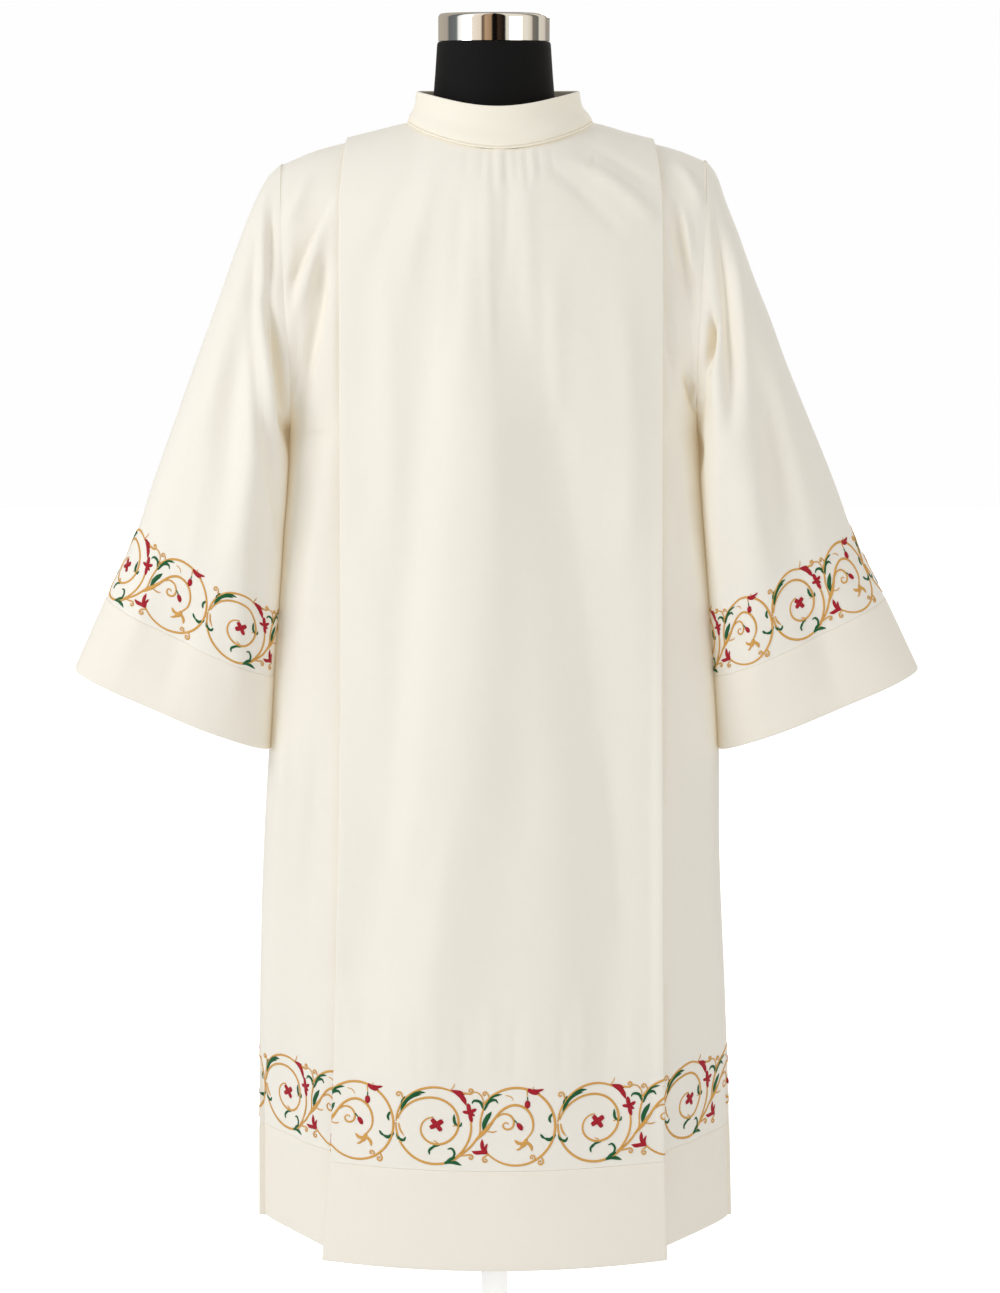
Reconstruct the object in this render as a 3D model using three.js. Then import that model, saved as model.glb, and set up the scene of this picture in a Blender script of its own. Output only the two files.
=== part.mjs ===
// Surplice on a limbless dress form. Millimetres, +Z up, the front faces -Y.
// The origin is the middle of the underside of the stand's round base.
//
// The garment is made of walls of cloth. Every panel is a grid of points in the
// middle of its cloth, worked out from the tables below, and is thickened to both
// sides along its normals.
import * as THREE from 'three';

// ---------- driving dimensions ----------
const CLOTH = 1.2;            // wall of single cloth
const BAND_CLOTH = 2.4;       // wall of the doubled hem and cuff bands
const COLLAR_CLOTH = 3.0;     // wall of the doubled, stiffened collar
const SEAM = 0.6;            // space left at a seam between two pieces
const SIDE_SEAM = 0.9;       // the same at the side seams, where the ends of the walls are not parallel
const HEM_Z = 315.5;          // height of the hem above the floor
const HEM_SEAM_Z = 415.5;     // seam between panel and hem band: a band 100 deep
const ARMPIT_Z = 1150;        // lowest point of the armholes
const PLEAT_DEPTH = 80;       // how far each pleat folds back under the centre panel
const PLEAT_LIFT = 2.6;       // spacing of the three pleat layers on the shoulder
const SHOULDER_DROP_FRONT = 120;  // height over which the front rounds into the shoulder
const SHOULDER_DROP_BACK = 80;    // the same at the middle of the back
const RIGHT_SHOULDER = 5;      // how much sooner the right shoulder slopes off
const NECK_X = 6;             // the neckline sits a little to the right of the stand
const NECK_HALF_W = 91;       // neckline, half width
const NECK_HALF_D = 86;       // neckline, half depth
// How far the collar has leaned in, from its seam (0) to its rim (1).
const COLLAR_LEAN = [
  { up: 0, lean: 0 }, { up: 0.18, lean: 0.22 }, { up: 0.42, lean: 0.68 }, { up: 0.65, lean: 0.88 }, { up: 1, lean: 1 },
];
const COLLAR_TOP_HALF_W = 80;
const COLLAR_TOP_X = 4;       // middle of the rim
const COLLAR_TOP_HALF_D = 76;
const COLLAR_FRONT_Z = 1470;  // rim of the collar at the front
const COLLAR_BACK_Z = 1484;   // and at the back
const BINDING_H = 4.0;        // height of the strip in the neck seam

// Pleat edges, left and right of the stand's middle, by height.
const PLEAT_EDGES = [
  { z: 315.5, left: 171, right: 172 },
  { z: 415,   left: 163, right: 170 },
  { z: 690,   left: 155, right: 168 },
  { z: 900,   left: 151, right: 166 },
  { z: 1380,  left: 150, right: 164 },
  { z: 1450,  left: 144, right: 161 },
];

// Front sections by height. mid: y of the centre panel in the middle; sag: how far it
// falls back at the pleat edges; gap: space from a pleat edge back to the side panel;
// turn: spacing of the layers at a fold.
const FRONT = [
  { z: 315.5, mid: -176, sag: 32, gap: 39, turn: 4.4 },
  { z: 415,   mid: -164, sag: 32, gap: 30, turn: 4.4 },
  { z: 550,   mid: -156, sag: 32, gap: 22, turn: 3.6 },
  { z: 700,   mid: -149, sag: 30, gap: 16, turn: 3.0 },
  { z: 850,   mid: -142, sag: 29, gap: 12, turn: 2.8 },
  { z: 1000,  mid: -134, sag: 29, gap: 9,  turn: 2.6 },
  { z: 1150,  mid: -126, sag: 29, gap: 7,  turn: 2.6 },
  { z: 1250,  mid: -119, sag: 27, gap: 6,  turn: 2.6 },
  { z: 1330,  mid: -113, sag: 25, gap: 5.2, turn: 2.6 },
  { z: 1480,  mid: -104, sag: 22, gap: 5.2, turn: 2.6 },
];
const BACK = [
  { z: 315.5, mid: 196, sag: 36, gap: 32, turn: 4.4 },
  { z: 415,   mid: 184, sag: 34, gap: 27, turn: 4.4 },
  { z: 550,   mid: 172, sag: 32, gap: 20, turn: 3.6 },
  { z: 700,   mid: 160, sag: 30, gap: 15, turn: 3.0 },
  { z: 850,   mid: 150, sag: 28, gap: 11, turn: 2.8 },
  { z: 1000,  mid: 141, sag: 27, gap: 8,  turn: 2.6 },
  { z: 1150,  mid: 134, sag: 26, gap: 7,  turn: 2.6 },
  { z: 1250,  mid: 129, sag: 25, gap: 6,  turn: 2.6 },
  { z: 1330,  mid: 122, sag: 24, gap: 5.2, turn: 2.6 },
  { z: 1480,  mid: 110, sag: 22, gap: 5.2, turn: 2.6 },
];

// Side seams below the armpits. left/right: half widths; y: depth of the seam;
// front/frontRight/back: y of the point that a side panel's curve leans to before it
// meets the seam, on the left, on the right and behind.
const SIDES = [
  { z: 315.5, left: 247, right: 249,   y: 34, front: 4,   frontRight: -7,  back: 70 },
  { z: 415,   left: 246, right: 246,   y: 33, front: 1,   frontRight: -8,  back: 68 },
  { z: 550,   left: 244, right: 240.5, y: 31, front: -4,  frontRight: -11, back: 66 },
  { z: 700,   left: 238, right: 232,   y: 27, front: -13, frontRight: -17, back: 64 },
  { z: 850,   left: 228, right: 224,   y: 22, front: -23, frontRight: -25, back: 62 },
  { z: 1000,  left: 215, right: 214,   y: 14, front: -34, frontRight: -34, back: 58 },
  { z: 1150,  left: 203.5, right: 203.5, y: 4, front: -47, frontRight: -47, back: 54 },
];

// Armhole by height: half widths, and how far it reaches to the front and back.
const ARMHOLE = [
  { z: 1150, left: 203.5, right: 203.5, lean: 1.0 },
  { z: 1160, left: 202.8, right: 202.8, lean: 0.97 },
  { z: 1180, left: 202, right: 202, lean: 0.9 },
  { z: 1215, left: 202.5, right: 202, lean: 0.78 },
  { z: 1265, left: 206, right: 204.5, lean: 0.62 },
  { z: 1330, left: 209, right: 207.5, lean: 0.55 },
  { z: 1415, left: 212.5, right: 211.5, lean: 0.5 },
];
const ARMHOLE_DEPTH = 71;     // y reach to either side
const ARMHOLE_MID_Z = 1292;   // height of its widest part

// Height of the shoulder line (top layer) by distance from the neckline's middle.
const RIDGE = [
  { x: 0, z: 1475.5 }, { x: 31.5, z: 1471.5 }, { x: 65, z: 1461.5 }, { x: 85, z: 1453.5 }, { x: 99, z: 1450.5 },
  { x: 123, z: 1444.6 }, { x: 147, z: 1438.7 }, { x: 165, z: 1434.5 }, { x: 183, z: 1429.6 },
  { x: 207, z: 1420 }, { x: 221, z: 1413.5 },
];

// Large soft folds of the panels. Each runs over three points (x, z) from its upper end
// to its lower end; width is half its breadth, height is how far it stands out.
const FRONT_FOLDS = [
  { xa: -22, za: 1420, xb: -52, zb: 1090, xc: -96, zc: 620, width: 24, height: 4.5 },
  { xa: -8,  za: 1360, xb: 14,  zb: 1000, xc: 34,  zc: 700, width: 26, height: -5 },
  { xa: 40,  za: 1400, xb: 88,  zb: 1010, xc: 140, zc: 560, width: 26, height: 4 },
  { xa: -120, za: 1300, xb: -124, zb: 1000, xc: -118, zc: 700, width: 16, height: -2.5 },
  { xa: 100, za: 1420, xb: 120, zb: 1290, xc: 128, zc: 1160, width: 14, height: -2.5 },
  { xa: -168, za: 1390, xb: -192, zb: 1320, xc: -210, zc: 1262, width: 11, height: -5 },
  { xa: -166, za: 1330, xb: -182, zb: 1255, xc: -202, zc: 1180, width: 12, height: -6 },
  { xa: 178, za: 1392, xb: 190, zb: 1310, xc: 206, zc: 1240, width: 11, height: -5 },
  { xa: 172, za: 1330, xb: 184, zb: 1240, xc: 203, zc: 1180, width: 12, height: -6 },
  { xa: -172, za: 1180, xb: -194, zb: 1020, xc: -216, zc: 800, width: 16, height: -5 },
  { xa: 176, za: 1150, xb: 200, zb: 960, xc: 218, zc: 700, width: 16, height: -5 },
  { xa: -186, za: 760, xb: -204, zb: 560, xc: -214, zc: 330, width: 15, height: -5 },
  { xa: 190, za: 800, xb: 204, zb: 580, xc: 216, zc: 330, width: 15, height: -5 },
];
const BACK_FOLDS = [
  { xa: -40, za: 1400, xb: -60, zb: 1050, xc: -84, zc: 600, width: 24, height: 4.5 },
  { xa: 8,   za: 1200, xb: -4,  zb: 960, xc: -22, zc: 640, width: 26, height: -4 },
  { xa: 50,  za: 1400, xb: 74,  zb: 1000, xc: 96, zc: 580, width: 24, height: 5 },
  { xa: -168, za: 1390, xb: -190, zb: 1310, xc: -206, zc: 1240, width: 12, height: -5 },
  { xa: 178, za: 1390, xb: 192, zb: 1310, xc: 208, zc: 1240, width: 12, height: -5 },
  { xa: -180, za: 1130, xb: -200, zb: 900, xc: -214, zc: 600, width: 16, height: -5 },
  { xa: 182, za: 1130, xb: 200, zb: 900, xc: 214, zc: 600, width: 16, height: -5 },
];

// Sleeve rings from the armhole to the cuff. ox, oz: the outer line; ix, iz: the
// underarm line; y, depth: middle and half of the depth from front to back; ridge: how
// far the front fold stands out; right: how much further out the right sleeve reaches.
const SLEEVE = [
  { ox: 238, oz: 1376, ix: 206.5, iz: 1137, y: -3, depth: 76, ridge: 1, right: -7 },
  { ox: 253, oz: 1340, ix: 207.5, iz: 1121, y: -6, depth: 77, ridge: 3, right: -8 },
  { ox: 273, oz: 1285, ix: 209.5, iz: 1100, y: -10, depth: 78, ridge: 6, right: -8 },
  { ox: 295.5, oz: 1225, ix: 211.5, iz: 1076, y: -14, depth: 77, ridge: 7, right: -7 },
  { ox: 318, oz: 1164, ix: 214, iz: 1046, y: -17, depth: 74, ridge: 7, right: -4 },
  { ox: 340.5, oz: 1103, ix: 216.5, iz: 1008, y: -19, depth: 71, ridge: 6, right: -1 },
  { ox: 362, oz: 1042, ix: 219.5, iz: 964, y: -20, depth: 68, ridge: 5, right: 1 },
  { ox: 392.5, oz: 977.5,  ix: 223.5, iz: 900, y: -20, depth: 64, ridge: 4, right: 3 },
  { ox: 426, oz: 904,  ix: 227.5, iz: 824, y: -20, depth: 60, ridge: 3, right: 5 },
];
const CUFF_SEAM_RING = 7;     // the band runs from this ring to the last one

// Stand.
const TORSO = [
  { z: 760,  w: 168, d: 104, y: 8 },
  { z: 770,  w: 172, d: 108, y: 8 },
  { z: 860,  w: 171, d: 106, y: 8 },
  { z: 960,  w: 158, d: 98,  y: 5 },
  { z: 1060, w: 146, d: 92,  y: 2 },
  { z: 1160, w: 156, d: 98,  y: 0 },
  { z: 1250, w: 170, d: 98,  y: 0 },
  { z: 1320, w: 184, d: 88,  y: 2 },
  { z: 1360, w: 189, d: 78,  y: 3 },
  { z: 1385, w: 184, d: 66,  y: 3 },
  { z: 1403, w: 164, d: 55,  y: 2 },
  { z: 1418, w: 136, d: 51,  y: 1 },
  { z: 1430, w: 102, d: 51,  y: 0 },
  { z: 1438, w: 77,  d: 54,  y: 0 },
  { z: 1444, w: 66,  d: 56,  y: 0 },
];
const NECK_R = 58;
const NECK_TOP_Z = 1532;
const CAP_TOP_Z = 1560;
const POLE_R = 14;
const BASE_R = 170;
const BASE_H = 10;

// ---------- interpolation ----------
// Monotone cubic through the rows of a table: rows[key] gives the place, rows[col] the value.
function curve(rows, key, col) {
  const n = rows.length;
  const t = rows.map((r) => r[key]);
  const v = rows.map((r) => r[col]);
  const slope = [];
  for (let i = 0; i < n - 1; i++) slope.push((v[i + 1] - v[i]) / (t[i + 1] - t[i]));
  const m = [slope[0]];
  for (let i = 1; i < n - 1; i++) {
    const a = slope[i - 1], b = slope[i];
    if (a * b <= 0) { m.push(0); continue; }
    const h0 = t[i] - t[i - 1], h1 = t[i + 1] - t[i];
    const w0 = 2 * h1 + h0, w1 = h1 + 2 * h0;
    m.push((w0 + w1) / (w0 / a + w1 / b));
  }
  m.push(slope[n - 2]);
  return (x) => {
    if (x <= t[0]) return v[0];
    if (x >= t[n - 1]) return v[n - 1];
    let i = 0;
    while (x > t[i + 1]) i++;
    const h = t[i + 1] - t[i], s = (x - t[i]) / h;
    const s2 = s * s, s3 = s2 * s;
    return v[i] * (2 * s3 - 3 * s2 + 1) + m[i] * h * (s3 - 2 * s2 + s)
      + v[i + 1] * (3 * s2 - 2 * s3) + m[i + 1] * h * (s3 - s2);
  };
}
const columns = (rows, key, names) =>
  Object.fromEntries(names.map((c) => [c, curve(rows, key, c)]));
const lerp = (a, b, t) => a + (b - a) * t;
const clamp01 = (t) => Math.min(1, Math.max(0, t));
const smooth = (t) => { const c = clamp01(t); return c * c * (3 - 2 * c); };

const pleat = columns(PLEAT_EDGES, 'z', ['left', 'right']);
const frontAt = columns(FRONT, 'z', ['mid', 'sag', 'gap', 'turn']);
const backAt = columns(BACK, 'z', ['mid', 'sag', 'gap', 'turn']);
const sideAt = columns(SIDES, 'z', ['left', 'right', 'y', 'front', 'frontRight', 'back']);
const armAt = columns(ARMHOLE, 'z', ['left', 'right', 'lean']);
const ridgeAt = curve(RIDGE, 'x', 'z');
const collarLean = curve(COLLAR_LEAN, 'up', 'lean');

// How far the folds stand out at (x, z).
function relief(folds, x, z) {
  let sum = 0;
  for (const f of folds) {
    if (z > f.za || z < f.zc) continue;
    const t = (f.za - z) / (f.za - f.zc);
    const tb = (f.za - f.zb) / (f.za - f.zc);
    const l0 = (t - tb) * (t - 1) / (tb), l1 = t * (t - 1) / (tb * (tb - 1)), l2 = t * (t - tb) / (1 - tb);
    const xm = f.xa * l0 + f.xb * l1 + f.xc * l2;
    const q = (x - xm) / f.width;
    sum += f.height * Math.exp(-q * q) * smooth(t / 0.18) * smooth((1 - t) / 0.18);
  }
  return sum;
}

// ---------- panels ----------
// side: -1 left, +1 right. face: -1 front, +1 back.
const sideName = (side) => (side < 0 ? 'left' : 'right');
const table = (face) => (face < 0 ? frontAt : backAt);
const folds = (face) => (face < 0 ? FRONT_FOLDS : BACK_FOLDS);
function shoulderDrop(face, x) {
  if (face < 0) return SHOULDER_DROP_FRONT;
  return lerp(SHOULDER_DROP_BACK, SHOULDER_DROP_FRONT, smooth((Math.abs(x - NECK_X) - 60) / 130));
}
// Depth (y) of the centre panel before the shoulder rounds it.
function centreY(face, x, z) {
  const half = (pleat.left(z) + pleat.right(z)) / 2;
  const mid = (pleat.right(z) - pleat.left(z)) / 2;
  const q = (x - mid) / half;
  const t = table(face);
  const wide = folds(face).filter((f) => f.width >= 20);
  return t.mid(z) - face * t.sag(z) * q * q + face * relief(wide, x, z);
}
// Neckline: how far the rounding goes on before the neckline cuts it.
function cutAngle(face, x) {
  const q = (x - NECK_X) / NECK_HALF_W;
  if (Math.abs(q) >= 1) return 0;
  const yTop = NECK_HALF_D * Math.sqrt(1 - q * q);
  const deep = Math.abs(centreY(face, x, ridgeAt(Math.abs(x - NECK_X)) - 60));
  return Math.asin(Math.min(0.98, yTop / deep));
}
// A row of the upper body is either straight (level 0 to 1 from armpit to shoulder
// rounding) or round (beta 90 to 0 degrees, from the chest to the shoulder seam).
const ROWS = [
  { z: HEM_SEAM_Z + SEAM / 2 }, { z: 520 }, { z: 640 }, { z: 770 }, { z: 900 }, { z: 1020 }, { z: 1100 },
  { level: 0 }, { level: 0.04 }, { level: 0.12 }, { level: 0.28 }, { level: 0.55 }, { level: 0.78 },
  { beta: 90 }, { beta: 70 }, { beta: 50 }, { beta: 32 }, { beta: 15 }, { beta: 0 },
];
const BAND_ROWS = [{ z: HEM_Z }, { z: 365 }, { z: HEM_SEAM_Z - SEAM / 2 }];
// Height of the shoulder line at x; the right shoulder slopes off a little sooner.
function ridgeTop(x) {
  const reach = Math.abs(x - NECK_X);
  return ridgeAt(x > NECK_X ? reach + RIGHT_SHOULDER * smooth((reach - 100) / 30) : reach);
}
// Height and rounding of a row at x, for a layer that lies lift below the top one.
function place(row, face, x, lift) {
  if (row.z !== undefined) return { z: row.z, round: 1 };
  const top = ridgeTop(x);
  const drop = shoulderDrop(face, x);
  if (row.level !== undefined) {
    return { z: lerp(ARMPIT_Z, top - drop, row.level), round: 1 };
  }
  const cut = cutAngle(face, x);
  const beta = cut + (Math.PI / 2 - cut) * (row.beta / 90);
  return { z: top - drop * (1 - Math.cos(beta)) - lift * Math.cos(beta), round: Math.sin(beta) };
}
function point(face, x, y, pl) {
  const yy = pl.round < 1e-6 ? face * SEAM / 2 : y * pl.round;
  return new THREE.Vector3(x, face < 0 ? Math.min(yy, -SEAM / 2) : Math.max(yy, SEAM / 2), pl.z);
}
// Where a row meets the side seam or the armhole.
function endPoint(row, face, side) {
  if (row.z !== undefined) {
    return { x: side * sideAt[sideName(side)](row.z), y: sideAt.y(row.z) + face * SIDE_SEAM / 2, z: row.z, round: 1 };
  }
  const xa = armAt[sideName(side)](1330) * side;
  const pl = place(row, face, xa, 2 * PLEAT_LIFT);
  const x = side * armAt[sideName(side)](pl.z);
  const low = clamp01((ARMHOLE_MID_Z - pl.z) / (ARMHOLE_MID_Z - ARMPIT_Z));
  const reach = ARMHOLE_DEPTH * Math.pow(Math.max(0, 1 - Math.pow(low, 2.2)), 1 / 2.2);
  const y = lerp(0, sideAt.y(ARMPIT_Z), low) + face * Math.max(reach, SEAM / 2);
  return { x, y, z: pl.z, round: pl.round };
}
// Middle line of one half of a panel's row, from the middle of the centre panel
// over both folds of the pleat and out to the side.
function halfRow(row, face, side, nCentre) {
  const t = table(face);
  const zEdge = place(row, face, side * 155, 0).z;
  const zq = Math.min(zEdge, 1450);
  const xEdge = side * pleat[sideName(side)](zq);
  const xIn = xEdge - side * PLEAT_DEPTH;
  const xMid = (pleat.right(zq) - pleat.left(zq)) / 2;
  const turn = t.turn(zq), gap = Math.max(t.gap(zq), 2 * turn);
  const pts = [];
  const at = (x, y, lift) => point(face, x, y, place(row, face, x, lift));
  // centre panel
  for (let i = 0; i <= nCentre; i++) {
    const x = lerp(xMid, xEdge, i / nCentre);
    const pl = place(row, face, x, 0);
    pts.push(point(face, x, centreY(face, x, pl.z), pl));
  }
  // underlay, from the outer fold in to the inner fold
  const yEdge = centreY(face, xEdge, zq);
  const yIn = centreY(face, xIn, zq);
  const under = [];
  const ySideIn = yEdge - face * gap - face * -0.32 * Math.abs(xEdge - xIn) * Math.min(1, gap / 20 + 0.3);
  const ySideInSafe = face < 0 ? Math.max(ySideIn, yIn + 2 * turn + 0.4) : Math.min(ySideIn, yIn - 2 * turn - 0.4);
  const yu = (s) => lerp(yEdge - face * turn, ySideInSafe + face * turn, s);
  for (const s of [0, 0.5, 1]) under.push(at(lerp(xEdge, xIn, s), yu(s), PLEAT_LIFT));
  const turnOver = (a, b, out, n) => {
    const mid = a.clone().add(b).multiplyScalar(0.5);
    const arm = a.clone().sub(mid);
    for (let i = 1; i < n; i++) {
      const f = Math.PI * i / n;
      pts.push(mid.clone().addScaledVector(arm, Math.cos(f))
        .add(new THREE.Vector3(out * arm.length() * Math.sin(f), 0, 0)));
    }
  };
  turnOver(pts[pts.length - 1], under[0], side, 3);
  pts.push(...under);
  // side panel, from the inner fold out
  const inner = at(xIn, ySideInSafe, 2 * PLEAT_LIFT);
  turnOver(under[2], inner, -side, 3);
  pts.push(inner);
  const ySide = yEdge - face * gap;
  pts.push(at(lerp(xIn, xEdge, 0.55), lerp(ySideInSafe, ySide, 0.5), 2 * PLEAT_LIFT));
  const end = endPoint(row, face, side);
  const lean = row.z !== undefined ? 1 : armAt.lean(end.z);
  const xk = lerp(xEdge, end.x, lean);
  const kLow = sideAt[face > 0 ? 'back' : side < 0 ? 'front' : 'frontRight'](Math.min(end.z, ARMPIT_Z));
  const kHigh = ySide + (end.y - ySide) * 0.3;
  const yk = row.z !== undefined ? kLow : lerp(kLow, kHigh, smooth((end.z - ARMPIT_Z) / 60));
  const nSide = 7;
  for (let i = 0; i <= nSide; i++) {
    const s = i / nSide, a = (1 - s) * (1 - s), b = 2 * s * (1 - s), c = s * s;
    const x = a * xEdge + b * xk + c * end.x;
    const y = a * ySide + b * yk + c * end.y;
    if (i === nSide) {
      const yy = end.round < 1e-6 ? face * SEAM / 2 : lerp(end.y * end.round, end.y, row.beta === undefined ? 1 : 0);
      pts.push(new THREE.Vector3(end.x, yy, end.z));
    } else {
      const pl = place(row, face, x, 2 * PLEAT_LIFT);
      const bump = relief(folds(face), x, pl.z) * smooth((1 - s) / 0.3);
      pts.push(point(face, x, y + face * bump, pl));
    }
  }
  return pts;
}
function panelGrid(rows, face, nCentre) {
  return rows.map((row) => {
    const left = halfRow(row, face, -1, nCentre).reverse();
    const right = halfRow(row, face, 1, nCentre);
    return [...left, ...right.slice(1)];
  });
}

// ---------- walls ----------
// A grid of points in the middle of the cloth becomes a closed wall. Rows run along
// the piece; with wrap the columns close into a ring.
function wall(grid, thick, wrap) {
  const R = grid.length, C = grid[0].length;
  const normal = (i, j) => {
    const jm = wrap ? (j + C - 1) % C : Math.max(0, j - 1);
    const jp = wrap ? (j + 1) % C : Math.min(C - 1, j + 1);
    const im = Math.max(0, i - 1), ip = Math.min(R - 1, i + 1);
    const here = grid[i][j];
    const unit = (a, b) => { const v = b.clone().sub(a); return v.length() < 1e-9 ? v : v.normalize(); };
    const along = unit(grid[i][jm], here).add(unit(here, grid[i][jp]));
    const up = unit(grid[im][j], here).add(unit(here, grid[ip][j]));
    return along.cross(up).normalize();
  };
  const pos = [];
  for (const sign of [1, -1]) {
    for (let i = 0; i < R; i++) {
      for (let j = 0; j < C; j++) {
        const p = grid[i][j].clone().addScaledVector(normal(i, j), sign * thick / 2);
        pos.push(p.x, p.y, p.z);
      }
    }
  }
  const A = (i, j) => i * C + (j % C);
  const B = (i, j) => R * C + A(i, j);
  const idx = [];
  const quad = (a, b, c, d) => idx.push(a, b, c, a, c, d);
  const last = wrap ? C : C - 1;
  for (let i = 0; i < R - 1; i++) {
    for (let j = 0; j < last; j++) {
      quad(A(i, j), A(i, j + 1), A(i + 1, j + 1), A(i + 1, j));
      quad(B(i, j), B(i + 1, j), B(i + 1, j + 1), B(i, j + 1));
    }
  }
  for (let j = 0; j < last; j++) {
    quad(A(0, j), B(0, j), B(0, j + 1), A(0, j + 1));
    quad(A(R - 1, j), A(R - 1, j + 1), B(R - 1, j + 1), B(R - 1, j));
  }
  if (!wrap) {
    for (let i = 0; i < R - 1; i++) {
      quad(A(i, 0), A(i + 1, 0), B(i + 1, 0), B(i, 0));
      quad(A(i, C - 1), B(i, C - 1), B(i + 1, C - 1), A(i + 1, C - 1));
    }
  }
  return solid(pos, idx);
}
// Closed geometry with its faces pointing out.
function solid(pos, idx) {
  let six = 0;
  const v = (k) => new THREE.Vector3(pos[3 * k], pos[3 * k + 1], pos[3 * k + 2]);
  for (let i = 0; i < idx.length; i += 3) six += v(idx[i]).dot(v(idx[i + 1]).cross(v(idx[i + 2])));
  if (six < 0) for (let i = 0; i < idx.length; i += 3) [idx[i + 1], idx[i + 2]] = [idx[i + 2], idx[i + 1]];
  const g = new THREE.BufferGeometry();
  g.setAttribute('position', new THREE.Float32BufferAttribute(pos, 3));
  g.setIndex(idx);
  g.computeVertexNormals();
  return g;
}

// ---------- neck ----------
// Height of the neckline at an angle: 0 is the front, 180 the back.
function neckPoint(angle) {
  const x = NECK_X + NECK_HALF_W * Math.sin(angle);
  const c = Math.cos(angle);
  const face = c >= 0 ? -1 : 1;
  const xx = NECK_X + (x - NECK_X) * 0.9999;
  const pl = place({ beta: 0 }, face, xx, 0);
  return { x, y: -NECK_HALF_D * c, z: pl.z };
}
// Smooth height of the neck seam, levelled where front and back meet.
function neckHeight(angle) {
  let sum = 0, n = 0;
  for (let k = -3; k <= 3; k++) { sum += neckPoint(angle + k * 0.06).z; n++; }
  return sum / n;
}
function collarGrid(angles, levels) {
  return levels.map((s) => angles.map((a) => {
    const front = (1 + Math.cos(a)) / 2;
    const z0 = neckHeight(a) + 1.6 + BINDING_H + SEAM + 0.6;
    const z1 = lerp(COLLAR_BACK_Z, COLLAR_FRONT_Z, Math.pow(front, 1.5));
    const ease = collarLean(s);
    const w = lerp(NECK_HALF_W, COLLAR_TOP_HALF_W, ease);
    const d = lerp(NECK_HALF_D, COLLAR_TOP_HALF_D, ease);
    return new THREE.Vector3(lerp(NECK_X, COLLAR_TOP_X, ease) + w * Math.sin(a), -d * Math.cos(a), lerp(z0, z1, s));
  }));
}
function bindingGrid(angles) {
  return [0, 1].map((s) => angles.map((a) => new THREE.Vector3(
    NECK_X + (NECK_HALF_W + 0.6) * Math.sin(a), -(NECK_HALF_D + 0.6) * Math.cos(a),
    neckHeight(a) + 1.6 + s * BINDING_H)));
}

// ---------- sleeves ----------
// Ring 0 follows the armhole, so that sleeve and panels meet point by point.
function armholeRing(side) {
  const rows = ROWS.filter((r) => r.z === undefined).reverse();
  const f = rows.map((r) => halfRow(r, -1, side, 2).at(-1));
  const b = rows.map((r) => halfRow(r, 1, side, 2).at(-1));
  const ring = [...f, ...b.slice(1, -1).reverse()];
  ring[0] = ring[0].clone().setY(0);
  ring[f.length - 1] = f.at(-1).clone().setY(sideAt.y(ARMPIT_Z));
  return ring;
}
function sleeveGrid(side) {
  const ring0 = armholeRing(side);
  const half = (ring0[0].z - ARMPIT_Z) / 2, midZ = (ring0[0].z + ARMPIT_Z) / 2;
  const nFront = ROWS.filter((r) => r.z === undefined).length - 1;
  const angle = ring0.map((p, j) => {
    const t = Math.acos(Math.max(-1, Math.min(1, (p.z - midZ) / half)));
    return j <= nFront ? t : 2 * Math.PI - t;
  });
  const start = ring0.map((p) => p.clone().add(new THREE.Vector3(side * 1.6, 0, 0)));
  const rings = SLEEVE.map((r) => {
    const reach = r.ox + (side > 0 ? r.right : 0);
    const o = new THREE.Vector3(side * reach, r.y, r.oz), u = new THREE.Vector3(side * r.ix, r.y, r.iz);
    const mid = o.clone().add(u).multiplyScalar(0.5), arm = o.clone().sub(mid);
    return angle.map((t) => {
      const c = Math.cos(t), s = Math.sin(t);
      const bump = t < Math.PI ? r.ridge * Math.exp(-Math.pow((t - 1.9) / 0.35, 2))
        - r.ridge * 0.8 * Math.exp(-Math.pow((t - 1.25) / 0.3, 2)) : 0;
      return mid.clone().addScaledVector(arm, c).add(new THREE.Vector3(0, -(r.depth + bump) * s, 0));
    });
  });
  return [start, ...rings];
}
function cutRing(a, b, t) { return a.map((p, j) => p.clone().lerp(b[j], t)); }

// ---------- stand ----------
function torso() {
  const N = 36;
  const pos = [], idx = [];
  TORSO.forEach((r) => {
    for (let j = 0; j < N; j++) {
      const a = 2 * Math.PI * j / N, c = Math.cos(a), s = Math.sin(a), e = 2 / 2.3;
      pos.push(r.w * Math.sign(c) * Math.pow(Math.abs(c), e), r.y + r.d * Math.sign(s) * Math.pow(Math.abs(s), e), r.z);
    }
  });
  const R = TORSO.length;
  for (let i = 0; i < R - 1; i++) {
    for (let j = 0; j < N; j++) {
      const k = (j + 1) % N;
      idx.push(i * N + j, i * N + k, (i + 1) * N + k, i * N + j, (i + 1) * N + k, (i + 1) * N + j);
    }
  }
  const bottom = pos.length / 3; pos.push(0, TORSO[0].y, TORSO[0].z);
  const top = bottom + 1; pos.push(0, TORSO[R - 1].y, TORSO[R - 1].z);
  for (let j = 0; j < N; j++) {
    const k = (j + 1) % N;
    idx.push(bottom, k, j, top, (R - 1) * N + j, (R - 1) * N + k);
  }
  return solid(pos, idx);
}
// A turned piece: profile rows of radius and height, on the Z axis.
function turned(profile, n) {
  const g = new THREE.LatheGeometry(profile.map(([r, z]) => new THREE.Vector2(r, z)), n);
  g.rotateX(Math.PI / 2);
  return g;
}

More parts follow.
